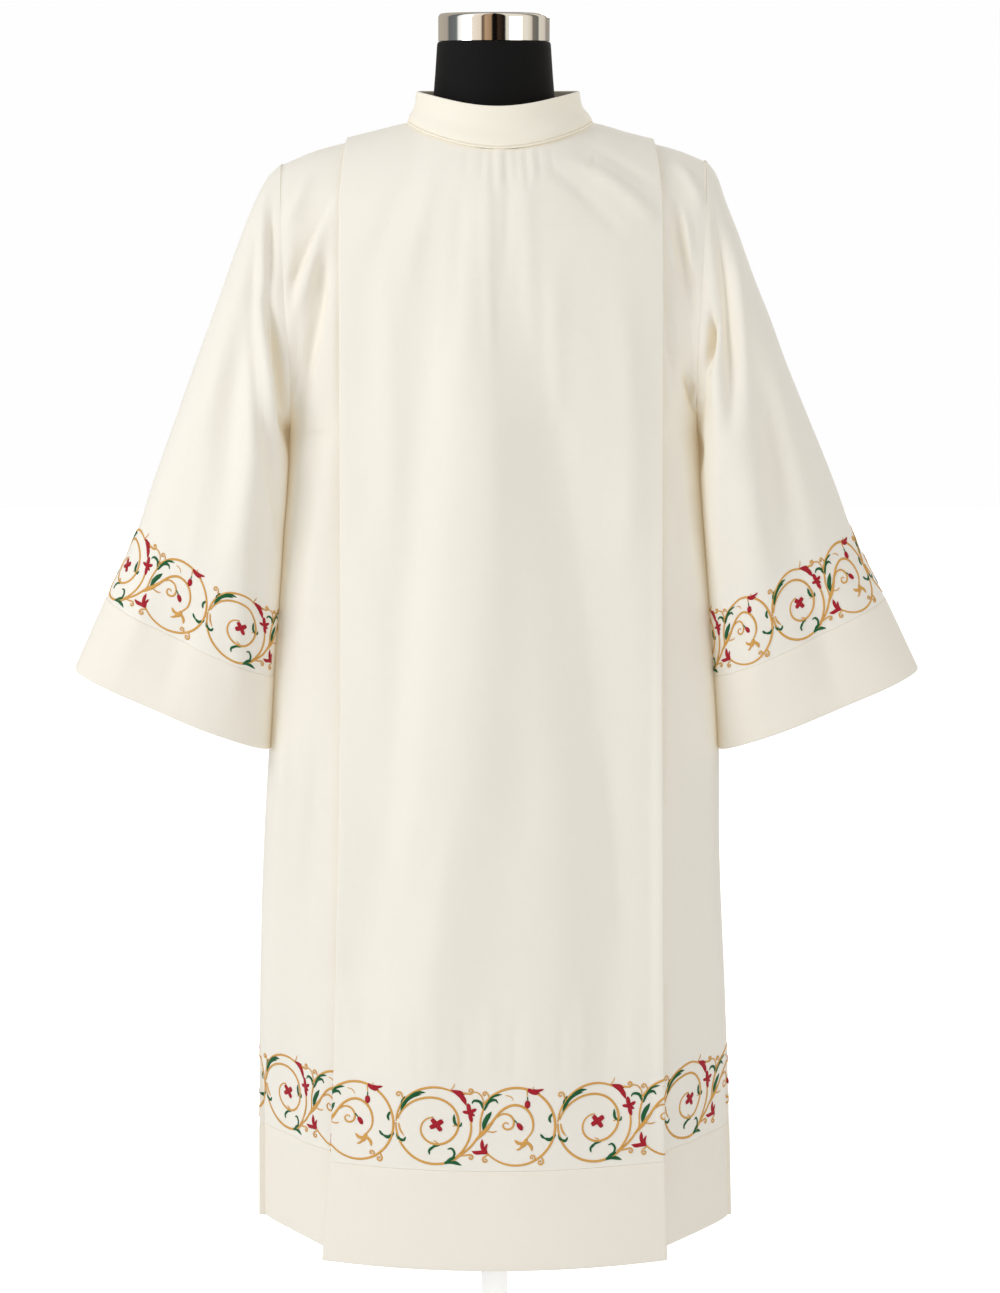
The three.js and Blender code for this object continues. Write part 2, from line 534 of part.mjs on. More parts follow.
// ---------- assembly ----------
const cloth = (rough) => new THREE.MeshStandardMaterial({ color: 0xf1ece0, roughness: rough, metalness: 0, side: THREE.DoubleSide });
const group = new THREE.Group();
function add(name, geometry, material) {
  const mesh = new THREE.Mesh(geometry, material);
  mesh.name = name;
  group.add(mesh);
}
const CENTRE_STEPS = 6;
add('front', wall(panelGrid(ROWS, -1, CENTRE_STEPS), CLOTH, false), cloth(0.8));
add('back', wall(panelGrid(ROWS, 1, CENTRE_STEPS), CLOTH, false), cloth(0.8));
add('hem_band_front', wall(panelGrid(BAND_ROWS, -1, CENTRE_STEPS), BAND_CLOTH, false), cloth(0.75));
add('hem_band_back', wall(panelGrid(BAND_ROWS, 1, CENTRE_STEPS), BAND_CLOTH, false), cloth(0.75));
for (const side of [-1, 1]) {
  const grid = sleeveGrid(side);
  const cut = CUFF_SEAM_RING + 1;
  const sleeve = [...grid.slice(0, cut), cutRing(grid[cut - 1], grid[cut], 0.997)];
  const band = [cutRing(grid[cut], grid[cut + 1], 0.003), cutRing(grid[cut], grid[cut + 1], 0.5), grid[cut + 1]];
  add('sleeve_' + sideName(side), wall(sleeve, CLOTH, true), cloth(0.8));
  add('cuff_band_' + sideName(side), wall(band, BAND_CLOTH, true), cloth(0.75));
}
const OPEN = 0.004;           // half of the slit at the centre back, in radians
const collarAngles = Array.from({ length: 37 }, (_, k) => lerp(-Math.PI + OPEN, Math.PI - OPEN, k / 36));
add('neck_binding', wall(bindingGrid(collarAngles), COLLAR_CLOTH, false), cloth(0.75));
add('collar', wall(collarGrid(collarAngles, [0, 0.2, 0.45, 1]), COLLAR_CLOTH, false), cloth(0.75));
// placket: the back panel's own middle points, moved out
{
  const rows = ROWS.filter((r) => r.beta !== undefined || r.level > 0.5);
  rows[rows.length - 1] = { beta: 2.5 };
  const grid = rows.map((row) => [-9, -3, 3, 9].map((dx) => {
    const x = NECK_X + dx, pl = place(row, 1, x, 0);
    const lift = 1.9;
    const p = point(1, x, centreY(1, x, pl.z), pl);
    const b = Math.asin(Math.min(1, pl.round));
    return p.add(new THREE.Vector3(0, lift * Math.sin(b), lift * Math.cos(b)));
  }));
  add('back_placket', wall(grid, 1.0, false), cloth(0.8));
}
const black = new THREE.MeshStandardMaterial({ color: 0x141414, roughness: 0.85, metalness: 0 });
const white = new THREE.MeshStandardMaterial({ color: 0xf4f4f2, roughness: 0.45, metalness: 0.1 });
const chrome = new THREE.MeshStandardMaterial({ color: 0xd8d8d8, roughness: 0.15, metalness: 1 });
add('form_torso', torso(), black);
add('form_neck', turned([[0, 1444.4], [NECK_R + 3, 1444.4], [NECK_R + 1, 1452], [NECK_R, 1462], [NECK_R - 0.5, 1500], [NECK_R - 1, NECK_TOP_Z], [0, NECK_TOP_Z]], 40), black);
add('form_cap', turned([[0, NECK_TOP_Z + 0.4], [55.5, NECK_TOP_Z + 0.4], [55.5, CAP_TOP_Z - 4], [54.2, CAP_TOP_Z - 1.2], [51, CAP_TOP_Z], [0, CAP_TOP_Z]], 40), chrome);
add('form_pole', turned([[0, BASE_H + 0.4], [POLE_R, BASE_H + 0.4], [POLE_R, 759.6], [0, 759.6]], 24), white);
add('form_base', turned([[0, 0], [BASE_R - 2, 0], [BASE_R, 2], [BASE_R, BASE_H - 3], [BASE_R - 4, BASE_H], [0, BASE_H]], 48), white);

export default group;
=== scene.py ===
import math

import bpy
import numpy as np
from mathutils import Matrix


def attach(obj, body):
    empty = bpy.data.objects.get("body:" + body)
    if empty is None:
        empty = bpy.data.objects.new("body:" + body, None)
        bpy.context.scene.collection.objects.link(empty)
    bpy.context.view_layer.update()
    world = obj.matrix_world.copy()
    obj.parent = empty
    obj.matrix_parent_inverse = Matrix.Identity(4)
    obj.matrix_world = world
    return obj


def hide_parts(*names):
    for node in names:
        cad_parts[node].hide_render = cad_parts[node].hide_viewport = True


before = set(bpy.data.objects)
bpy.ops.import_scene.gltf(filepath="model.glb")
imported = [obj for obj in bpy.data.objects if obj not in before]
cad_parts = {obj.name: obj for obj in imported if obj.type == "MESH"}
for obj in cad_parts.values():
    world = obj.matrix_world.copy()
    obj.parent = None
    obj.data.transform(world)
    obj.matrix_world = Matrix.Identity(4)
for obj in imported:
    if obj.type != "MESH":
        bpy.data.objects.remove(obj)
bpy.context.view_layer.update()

# The looks of a surplice on a dress form. Tables and shapes are in millimetres and
# become metres when a mesh is made. The front faces -Y.
scene = bpy.context.scene
MM = 0.001

# ---------------------------------------------------------------- camera
cam_data = bpy.data.cameras.new("camera")
cam_data.sensor_width = 36
cam_data.lens = 93.47
camera = bpy.data.objects.new("camera", cam_data)
camera.location = (0.006, -3.400, 1.465)
camera.rotation_euler = (math.radians(80.92), 0, 0)
scene.collection.objects.link(camera)
scene.camera = camera


# ---------------------------------------------------------------- tables
def table(names, *rows):
    return {n: np.array([r[i] for r in rows], float) for i, n in enumerate(names.split())}


CLOTH, BAND_CLOTH, COLLAR_CLOTH = 1.2, 2.4, 3.0
SEAM, SIDE_SEAM = 0.6, 0.9
HEM_Z, HEM_SEAM_Z, ARMPIT_Z = 315.5, 415.5, 1150.0
PLEAT_DEPTH, PLEAT_LIFT = 80.0, 2.6
DROP_FRONT, DROP_BACK = 120.0, 80.0
RIGHT_SHOULDER = 5.0
NECK_X, NECK_HALF_W, NECK_HALF_D = 6.0, 91.0, 86.0
ARMHOLE_DEPTH, ARMHOLE_MID_Z = 71.0, 1292.0

PLEAT_EDGES = table("z left right", (315.5, 171, 172), (415, 163, 170), (690, 155, 168),
                    (900, 151, 166), (1380, 150, 164), (1408, 148, 162),
                    (1450, 144, 156))
FRONT = table("z mid sag gap turn",
              (315.5, -176, 32, 39, 4.4), (415, -164, 32, 30, 4.4), (550, -156, 32, 22, 3.6),
              (700, -149, 30, 16, 3.0), (850, -142, 29, 12, 2.8), (1000, -134, 29, 9, 2.6),
              (1150, -126, 29, 7, 2.6), (1250, -119, 27, 6, 2.6), (1330, -113, 25, 5.2, 2.6),
              (1480, -104, 22, 5.2, 2.6))
BACK = table("z mid sag gap turn",
             (315.5, 196, 36, 32, 4.4), (415, 184, 34, 27, 4.4), (550, 172, 32, 20, 3.6),
             (700, 160, 30, 15, 3.0), (850, 150, 28, 11, 2.8), (1000, 141, 27, 8, 2.6),
             (1150, 134, 26, 7, 2.6), (1250, 129, 25, 6, 2.6), (1330, 122, 24, 5.2, 2.6),
             (1480, 110, 22, 5.2, 2.6))
SIDES = table("z left right y front frontRight back",
              (315.5, 247, 249, 34, 4, -7, 70), (415, 246, 246, 33, 1, -8, 68),
              (550, 244, 240.5, 14, -26, -32, 66), (700, 238, 232, -2, -44, -47, 64),
              (850, 227.5, 226.5, -14, -60, -61, 62), (1000, 215.5, 215.5, -22, -68, -68, 58),
              (1150, 203.5, 203.5, -22, -72, -72, 54))
ARMHOLE = table("z left right lean",
                (1150, 203.5, 203.5, 1.0), (1160, 202.8, 202.8, .97), (1180, 202, 202, .9),
                (1215, 202.5, 202, .78), (1265, 206, 204.5, .62), (1330, 209, 207.5, .55),
                (1415, 212.5, 211.5, .5))
RIDGE = table("x z", (0, 1475.5), (31.5, 1471.5), (65, 1461.5), (85, 1453.5), (99, 1450.5),
              (123, 1444.6), (147, 1438.7), (165, 1434.5), (183, 1429.6), (207, 1420), (221, 1413.5))
COLLAR_LEAN = table("up lean", (0, 0), (.18, .22), (.42, .68), (.65, .88), (1, 1))
SLEEVE = table("ox oz ix iz y depth ridge right",
               (238, 1376, 206.5, 1137, -3, 76, 1, -7), (253, 1340, 207.5, 1121, -6, 77, 3, -8),
               (273, 1285, 209.5, 1100, -10, 78, 6, -8), (295.5, 1225, 211.5, 1076, -14, 77, 7, -7),
               (318, 1164, 214, 1046, -17, 74, 7, -4), (340.5, 1103, 216.5, 1008, -19, 71, 6, -1),
               (362, 1042, 219.5, 964, -20, 68, 5, 1), (392.5, 977.5, 223.5, 900, -20, 64, 4, 3),
               (426, 904, 227.5, 824, -20, 60, 3, 5))
CUFF_SEAM_RING = 9
TORSO = table("z w d y", (760, 168, 104, 8), (770, 172, 108, 8), (860, 171, 106, 8),
              (960, 158, 98, 5), (1060, 146, 92, 2), (1160, 156, 98, 0), (1250, 170, 98, 0),
              (1320, 184, 88, 2), (1360, 189, 78, 3), (1385, 184, 66, 3), (1403, 164, 55, 2),
              (1418, 136, 51, 1), (1430, 102, 51, 0), (1438, 77, 54, 0), (1444, 66, 56, 0))

# Folds and creases: three points (x, z) from the upper end to the lower one, half the
# breadth, and how far it stands out (a trough is negative).
FRONT_FOLDS = [
    (-22, 1420, -52, 1090, -96, 620, 24, 4.5), (-8, 1360, 14, 1000, 34, 700, 26, -5),
    (40, 1400, 88, 1010, 140, 560, 26, 4), (-120, 1300, -124, 1000, -118, 700, 16, -2.5),
    (100, 1420, 120, 1290, 128, 1160, 14, -2.5), (-168, 1390, -192, 1320, -210, 1262, 11, -5),
    (-166, 1330, -182, 1255, -202, 1180, 12, -6), (178, 1392, 190, 1310, 206, 1240, 11, -5),
    (172, 1330, 184, 1240, 203, 1180, 12, -6), (-172, 1180, -194, 1020, -216, 800, 16, -5),
    (176, 1150, 200, 960, 218, 700, 16, -5), (-186, 760, -204, 560, -214, 330, 15, -1),
    (190, 800, 204, 580, 216, 330, 15, -1.5)]
BACK_FOLDS = [
    (-40, 1400, -60, 1050, -84, 600, 24, 4.5), (8, 1200, -4, 960, -22, 640, 26, -4),
    (50, 1400, 74, 1000, 96, 580, 24, 5), (-168, 1390, -190, 1310, -206, 1240, 12, -5),
    (178, 1390, 192, 1310, 208, 1240, 12, -5), (-180, 1130, -200, 900, -214, 600, 16, -5),
    (182, 1130, 200, 900, 214, 600, 16, -5)]
# Finer creases, on the centre panels.
FRONT_CENTRE = [
    (-12, 1440, -18, 1048, -104, 350, 44, 12.5), (-2, 1400, 84, 1040, 108, 340, 44, -12),
    (-8, 1360, 14, 1000, 34, 700, 26, 4.5), (40, 1400, 88, 1010, 140, 560, 26, -3.5),
    (-40, 1440, -80, 1048, -150, 440, 25, -6.5), (-6, 1432, -6, 1330, -2, 1205, 7, 1.9),
    (30, 1430, 33, 1330, 42, 1215, 9, 1.7), (16, 1432, 13, 1360, 12, 1290, 5, -1.0),
    (66, 1424, 116, 1394, 160, 1352, 11, 4.6), (46, 1420, 88, 1384, 132, 1336, 10, -2.2),
    (92, 1432, 132, 1408, 160, 1388, 7, -2.0), (-74, 1418, -98, 1370, -118, 1300, 11, -1.8),
    (-52, 1424, -72, 1360, -90, 1270, 10, 1.8), (-30, 1415, -34, 1330, -44, 1200, 9, -1.6),
    (-118, 1380, -128, 1200, -120, 980, 16, -2.4), (-104, 1340, -100, 1160, -96, 1000, 12, 1.6),
    (118, 1330, 134, 1180, 128, 980, 14, 2.4), (62, 1330, 60, 1260, 70, 1150, 11, 1.8),
    (-116, 1000, -112, 860, -128, 700, 14, 2.0),
    (-40, 800, -54, 680, -72, 520, 13, 1.4), (112, 880, 128, 740, 136, 600, 13, -1.8),
    (-158, 604, -148, 584, -134, 556, 8, 2.2), (-150, 640, -136, 610, -120, 586, 9, -1.5)]
# Gathers under the neck seam, and puckers where the embroidery draws the cloth in.
FRONT_CENTRE += [(x, 1432, x + lean * .5, 1416, x + lean, 1424 - 2 * reach, w, 1.7 * h) for x, lean, reach, w, h in (
    (-25, -3, 14, 2.4, -.35), (-11, -1, 15, 2.2, -.55), (-1, 0, 22, 2.0, -.9), (5, 0, 16, 2.4, .5),
    (11, 1, 18, 2.0, -.75), (21, 2, 16, 2.0, -.6), (30, 3, 19, 2.1, -.75), (36, 3, 14, 2.4, .45),
    (42, 4, 15, 2.2, -.45), (54, 6, 14, 2.6, -.3))]
FRONT_CENTRE += [(x, 575 + top, x + 2, 540, x + 1, 500, w, h) for x, top, w, h in (
    (-132, 6, 6, -.7), (-104, 22, 7, .8), (-77, 0, 5, -.8), (-58, 16, 6, .6), (-31, 8, 5, -.6),
    (-6, 26, 7, .8), (19, 2, 5, -.8), (37, 14, 6, .5), (66, 4, 5, -.7), (88, 30, 7, .8),
    (112, 6, 5, -.6), (139, 18, 7, .7))]
FRONT_SIDE = [
    (-172, 1180, -194, 1020, -216, 800, 16, 2.7), (176, 1150, 200, 960, 218, 700, 16, 2.7),
    (-156, 1394, -181, 1334, -207, 1278, 5.5, -2.6), (-162, 1374, -184, 1302, -198, 1258, 6, 3.4),
    (-166, 1338, -179, 1242, -200, 1165, 6, -3.4), (-176, 1410, -193, 1378, -208, 1338, 7, 2.0),
    (-186, 1240, -193, 1200, -199, 1166, 5, 1.8), (-162, 1140, -176, 1040, -186, 900, 9, 1.6),
    (-170, 900, -182, 760, -190, 600, 10, -1.6), (-200, 980, -212, 840, -222, 660, 9, 1.6),
    (-176, 560, -186, 480, -196, 330, 10, 1.6),
    (170, 1382, 185, 1324, 192, 1256, 5.5, -3.0), (184, 1380, 191, 1340, 197, 1300, 5, 2.6),
    (176, 1420, 194, 1394, 208, 1364, 7, 2.0), (172, 1300, 178, 1262, 190, 1220, 7, 1.8),
    (166, 1250, 171, 1232, 179, 1208, 3.6, -1.8), (186, 1218, 197, 1188, 205, 1160, 5.0, -4.6),
    (178, 1180, 190, 1080, 200, 960, 8, 1.6), (176, 880, 190, 720, 200, 560, 10, -1.6),
    (204, 940, 214, 780, 220, 600, 9, 1.6), (186, 560, 196, 470, 204, 330, 9, 1.6)]
BACK_CENTRE = [
    (-30, 1425, -66, 1080, -92, 660, 13, 1.4), (-64, 1330, -28, 1120, -40, 840, 13, -1.5),
    (34, 1400, 22, 1180, 46, 900, 12, -1.4), (70, 1290, 92, 1010, 120, 600, 16, 1.5),
    (-96, 1400, -116, 1320, -122, 1180, 10, 1.2), (-84, 1418, -120, 1388, -146, 1350, 9, 1.5),
    (92, 1418, 126, 1392, 154, 1352, 9, 1.4), (104, 1380, 112, 1250, 106, 1100, 11, -1.0),
    (-112, 960, -124, 800, -132, 560, 13, -1.3), (4, 900, 20, 740, 14, 560, 14, 1.4),
    (96, 900, 88, 760, 76, 600, 12, -1.2), (-64, 720, -46, 620, -40, 520, 11, .9)]
BACK_CENTRE += [(x, 570 + top, x - 2, 540, x - 1, 500, w, h) for x, top, w, h in (
    (-128, 10, 6, -.7), (-99, 24, 7, .8), (-70, 4, 5, -.7), (-44, 18, 6, .6), (-14, 10, 5, -.6),
    (13, 22, 7, .7), (44, 4, 5, -.7), (70, 16, 6, .6), (101, 8, 6, -.6), (130, 22, 7, .7))]
BACK_SIDE = [
    (-160, 1390, -182, 1330, -204, 1272, 6, -2.6), (-168, 1360, -186, 1300, -200, 1250, 6, 2.6),
    (-170, 1310, -186, 1230, -200, 1168, 6, -2.8), (-168, 1120, -184, 980, -196, 800, 10, 1.6),
    (-180, 820, -192, 700, -206, 520, 10, -1.5), (-206, 700, -216, 540, -220, 330, 9, 1.5),
    (170, 1386, 188, 1330, 202, 1270, 6, -2.4), (176, 1350, 190, 1296, 202, 1242, 6, 2.4),
    (176, 1290, 190, 1220, 202, 1166, 6, -2.6), (180, 1080, 192, 940, 200, 780, 10, 1.5),
    (188, 860, 200, 700, 210, 500, 10, -1.5), (184, 600, 198, 480, 206, 330, 9, 1.5)]
# Creases of the sleeves: the front ones, then the ones behind.
SLEEVE_FRONT = {
    -1: [(-228, 1395, -228, 1340, -227, 1270, 5, 2.8), (-219, 1395, -220, 1330, -221, 1262, 4, -2.2), (-236, 1385, -238, 1320, -240, 1240, 6, -2.2),
         (-233, 1302, -227, 1230, -215, 1120, 5, 4.6), (-240, 1276, -234, 1196, -226, 1102, 5, -3.0),
         (-226, 1310, -217, 1236, -200, 1105, 5.0, -6.5), (-236, 1310, -226, 1188, -209, 1000, 4.2, -3.2), (-229, 1306, -240, 1143, -254, 983, 13, 2.6),
         (-250, 1290, -262, 1132, -283, 981, 15, -3.2), (-246, 1350, -268, 1230, -296, 1100, 12, 1.8),
         (-270, 1180, -292, 1080, -318, 960, 13, 2.0), (-228, 1080, -236, 1000, -244, 900, 9, -2.2),
         (-240, 1040, -252, 950, -262, 850, 11, 1.8), (-300, 1000, -318, 930, -338, 860, 13, -1.6),
         (-340, 1010, -356, 960, -376, 900, 12, 1.4)],
    1: [(214, 1276, 215.5, 1240, 213, 1206, 4.2, -10.0), (214, 1410, 229, 1290, 234, 1120, 7.5, -5.8),
        (212, 1300, 219, 1238, 218, 1120, 5, 3.6), (238, 1380, 242, 1280, 250, 1150, 7, 2.0),
         (206, 1152, 205, 1124, 203, 1098, 3, -2.6),
        (219, 1180, 222, 1100, 226, 1000, 8, 2.4), (244, 1290, 254, 1140, 268, 980, 14, 2.4),
        (262, 1250, 276, 1120, 296, 990, 13, -2.8), (256, 1340, 276, 1230, 300, 1110, 12, 1.8),
        (292, 1150, 308, 1070, 326, 980, 13, 1.8), (232, 1060, 240, 980, 246, 890, 10, -2.2),
        (250, 1000, 262, 920, 270, 850, 11, 1.6), (312, 990, 330, 930, 350, 860, 13, -1.6)]}
SLEEVE_DEPTH, SIDE_DEPTH = 1.7, 1.9     # how strongly the finer creases stand out
SLEEVE_BACK = {
    -1: [(-226, 1310, -226, 1220, -218, 1120, 7, 3.2), (-238, 1280, -234, 1190, -228, 1090, 6, -2.8),
         (-244, 1330, -258, 1180, -276, 1010, 14, 2.4), (-264, 1260, -284, 1120, -308, 980, 14, -2.6),
         (-286, 1150, -306, 1040, -330, 900, 14, 2.0), (-240, 1060, -250, 960, -260, 860, 11, -1.8)],
    1: [(226, 1304, 225, 1214, 218, 1118, 7, 3.0), (238, 1290, 236, 1200, 230, 1090, 6, -2.8),
        (246, 1320, 262, 1170, 282, 1000, 14, 2.2), (268, 1250, 290, 1110, 312, 970, 14, -2.4),
        (290, 1140, 312, 1030, 336, 900, 14, 2.0), (242, 1050, 252, 950, 262, 860, 11, -1.8)]}


# ---------------------------------------------------------------- small maths
def lerp(a, b, t):
    return a + (b - a) * t


def smooth(t):
    c = np.clip(t, 0, 1)
    return c * c * (3 - 2 * c)


def pchip(t, v, x):
    """Monotone cubic through the places t and values v (rows), at x."""
    t, v, x = np.asarray(t, float), np.asarray(v, float), np.clip(np.asarray(x, float), t[0], t[-1])
    tail = (1,) * (v.ndim - 1)
    h = np.diff(t).reshape((-1,) + tail)
    d = np.diff(v, axis=0) / h
    m = np.empty_like(v)
    m[0], m[-1] = d[0], d[-1]
    a, b = d[:-1], d[1:]
    w0, w1 = 2 * h[1:] + h[:-1], h[1:] + 2 * h[:-1]
    ok = a * b > 0
    with np.errstate(divide="ignore", invalid="ignore"):
        m[1:-1] = np.where(ok, (w0 + w1) / (w0 / np.where(ok, a, 1) + w1 / np.where(ok, b, 1)), 0)
    i = np.clip(np.searchsorted(t, x, "right") - 1, 0, len(t) - 2)
    hh = h[i].reshape(x.shape + tail)
    s = ((x - t[i]).reshape(x.shape + tail)) / hh
    s2, s3 = s * s, s * s * s
    return (v[i] * (2 * s3 - 3 * s2 + 1) + m[i] * hh * (s3 - 2 * s2 + s)
            + v[i + 1] * (3 * s2 - 2 * s3) + m[i + 1] * hh * (s3 - s2))


def at(tab, col, x, key="z"):
    return pchip(tab[key], tab[col], x)


def relief(folds, x, z, ends=.18):
    """How far the folds stand out at (x, z); ends is the share in which one runs out."""
    x, z = np.broadcast_arrays(np.asarray(x, float), np.asarray(z, float))
    total = np.zeros(x.shape)
    for xa, za, xb, zb, xc, zc, width, height in folds:
        t = (za - z) / (za - zc)
        tb = (za - zb) / (za - zc)
        on = (t > 0) & (t < 1)
        if not on.any():
            continue
        xm = (xa * (t - tb) * (t - 1) / tb + xb * t * (t - 1) / (tb * (tb - 1))
              + xc * t * (t - tb) / (1 - tb))
        q = (x - xm) / width
        total += np.where(on, height * np.exp(-q * q) * smooth(t / ends) * smooth((1 - t) / ends), 0)
    return total


# ---------------------------------------------------------------- panels
# face: -1 front, +1 back. side: -1 left, +1 right.
SIDE_NAME = {-1: "left", 1: "right"}
PANEL = {-1: FRONT, 1: BACK}
FOLDS = {-1: FRONT_FOLDS, 1: BACK_FOLDS}


def shoulder_drop(face, x):
    if face < 0:
        return np.full(np.shape(x), DROP_FRONT)
    return lerp(DROP_BACK, DROP_FRONT, smooth((np.abs(x - NECK_X) - 60) / 130))


def centre_y(face, x, z):
    half = (at(PLEAT_EDGES, "left", z) + at(PLEAT_EDGES, "right", z)) / 2
    mid = (at(PLEAT_EDGES, "right", z) - at(PLEAT_EDGES, "left", z)) / 2
    q = (x - mid) / half
    wide = [f for f in FOLDS[face] if f[6] >= 20]
    return at(PANEL[face], "mid", z) - face * at(PANEL[face], "sag", z) * q * q + face * relief(wide, x, z)


def ridge_at(x):
    return pchip(RIDGE["x"], RIDGE["z"], x)


def ridge_top(x):
    reach = np.abs(x - NECK_X)
    return ridge_at(np.where(x > NECK_X, reach + RIGHT_SHOULDER * smooth((reach - 100) / 30), reach))


def cut_angle(face, x):
    q = np.clip((x - NECK_X) / NECK_HALF_W, -1, 1)
    y_top = NECK_HALF_D * np.sqrt(1 - q * q)
    deep = np.abs(centre_y(face, x, ridge_at(np.abs(x - NECK_X)) - 60))
    return np.arcsin(np.minimum(.98, y_top / deep))


def place(row, face, x, lift):
    """Height and rounding of a row at x, for a layer that lies lift below the top one."""
    kind, value = row
    x = np.asarray(x, float)
    if kind == "z":
        return np.full(x.shape, float(value)), np.ones(x.shape)
    top, drop = ridge_top(x), shoulder_drop(face, x)
    if kind == "level":
        return lerp(ARMPIT_Z, top - drop, value), np.ones(x.shape)
    cut = cut_angle(face, x)
    beta = cut + (math.pi / 2 - cut) * (value / 90)
    return top - drop * (1 - np.cos(beta)) - lift * np.cos(beta), np.sin(beta)


def points(face, x, y, placed):
    z, round_ = placed
    yy = np.where(round_ < 1e-6, face * SEAM / 2, y * round_)
    yy = np.minimum(yy, -SEAM / 2) if face < 0 else np.maximum(yy, SEAM / 2)
    return np.stack([np.broadcast_to(x, z.shape), yy, z], -1)


def end_point(row, face, side):
    kind, value = row
    name = SIDE_NAME[side]
    if kind == "z":
        return side * at(SIDES, name, value), at(SIDES, "y", value) + face * SIDE_SEAM / 2, value, 1.0
    xa = np.array([at(ARMHOLE, name, 1330.) * side])
    z, round_ = (float(v[0]) for v in place(row, face, xa, 2 * PLEAT_LIFT))
    low = min(1, max(0, (ARMHOLE_MID_Z - z) / (ARMHOLE_MID_Z - ARMPIT_Z)))
    reach = ARMHOLE_DEPTH * max(0, 1 - low ** 2.2) ** (1 / 2.2)
    y = lerp(0, float(at(SIDES, "y", ARMPIT_Z)), low) + face * max(reach, SEAM / 2)
    return side * float(at(ARMHOLE, name, z)), y, z, round_


N_NECK, N_EDGE, N_TURN, N_UNDER, N_INNER, N_SIDE = 42, 22, 7, 8, 7, 34


def half_row(row, face, side):
    """One half of a row from the middle out: points, and what each one belongs to
    (0 centre panel, 1 inside the pleat, 2 side panel) with its distance from the fold."""
    name, tab = SIDE_NAME[side], PANEL[face]
    z_edge = float(place(row, face, np.array([side * 155.]), 0)[0][0])
    zq = min(z_edge, 1450.)
    x_edge = side * float(at(PLEAT_EDGES, name, zq))
    x_in = x_edge - side * PLEAT_DEPTH
    turn = float(at(tab, "turn", zq))
    gap = max(float(at(tab, "gap", zq)), 2 * turn)
    s = np.arange(N_NECK + 1) / N_NECK
    xs = NECK_X + side * NECK_HALF_W * (1 - (1 - s) ** 1.3)
    xs = np.concatenate([xs, lerp(xs[-1], x_edge, np.arange(1, N_EDGE + 1) / N_EDGE)])
    placed = place(row, face, xs, 0)
    parts = [points(face, xs, centre_y(face, xs, placed[0]), placed)]
    code = [np.zeros(len(xs))]
    fade = [np.abs(x_edge - xs)]

    y_edge = float(centre_y(face, np.array(x_edge), np.array(zq)))
    y_in = float(centre_y(face, np.array(x_in), np.array(zq)))
    y_side_in = y_edge - face * gap + face * .32 * PLEAT_DEPTH * min(1, gap / 20 + .3)
    if face < 0:
        y_side_in = max(y_side_in, y_in + 2 * turn + .4)
    else:
        y_side_in = min(y_side_in, y_in - 2 * turn - .4)
    s = np.arange(N_UNDER + 1) / N_UNDER
    xu = lerp(x_edge, x_in, s)
    under = points(face, xu, lerp(y_edge - face * turn, y_side_in + face * turn, s), place(row, face, xu, PLEAT_LIFT))
    y_side = y_edge - face * gap
    s = np.arange(N_INNER) / N_INNER
    xi = lerp(x_in, x_edge, s)
    inner = points(face, xi, lerp(y_side_in, y_side, s ** 1.16), place(row, face, xi, 2 * PLEAT_LIFT))

    def turn_over(a, b, out):
        f = math.pi * np.arange(1, N_TURN) / N_TURN
        mid, arm = (a + b) / 2, (a - b) / 2
        bulge = np.zeros((N_TURN - 1, 3))
        bulge[:, 0] = out * np.linalg.norm(arm) * np.sin(f)
        return mid + arm * np.cos(f)[:, None] + bulge

    parts += [turn_over(parts[0][-1], under[0], side), under, turn_over(under[-1], inner[0], -side), inner]
    hidden = 2 * (N_TURN - 1) + N_UNDER + 1 + N_INNER
    code.append(np.ones(hidden))
    fade.append(np.zeros(hidden))

    ex, ey, ez, eround = (float(v) for v in end_point(row, face, side))
    lean = 1.0 if row[0] == "z" else float(at(ARMHOLE, "lean", ez))
    xk = lerp(x_edge, ex, lean)
    col = "back" if face > 0 else "front" if side < 0 else "frontRight"
    k_low = float(at(SIDES, col, min(ez, ARMPIT_Z)))
    k_high = y_side + (ey - y_side) * .3
    yk = k_low if row[0] == "z" else lerp(k_low, k_high, float(smooth((ez - ARMPIT_Z) / 60)))
    s = np.arange(N_SIDE + 1) / N_SIDE
    a, b, c = (1 - s) ** 2, 2 * s * (1 - s), s * s
    b = b * (1 + 2 * float(smooth((ARMPIT_Z + 10 - ez) / 60)) if face < 0 else 1)
    total = a + b + c
    x, y = (a * x_edge + b * xk + c * ex) / total, (a * y_side + b * yk + c * ey) / total
    placed = place(row, face, x, 2 * PLEAT_LIFT)
    bump = relief(FOLDS[face], x, placed[0]) * smooth((1 - s) / .3)
    last = points(face, x, y + face * bump, placed)
    yy = ey if row[0] != "beta" else face * SEAM / 2 if eround < 1e-6 else ey * eround
    last[-1] = (ex, yy, ez)
    parts.append(last)
    code.append(np.full(N_SIDE + 1, 2.))
    fade.append(np.minimum(np.abs(x - x_edge), np.hypot(x - ex, y - ey)))
    return np.concatenate(parts), np.concatenate(code), np.concatenate(fade)


def panel(rows, face):
    """Middle surface of a panel: points (rows x columns x 3), part codes and distances."""
    out = [], [], []
    for row in rows:
        halves = [half_row(row, face, s) for s in (-1, 1)]
        for k in range(3):
            out[k].append(np.concatenate([halves[0][k][::-1], halves[1][k][1:]]))
    return tuple(np.array(o) for o in out)


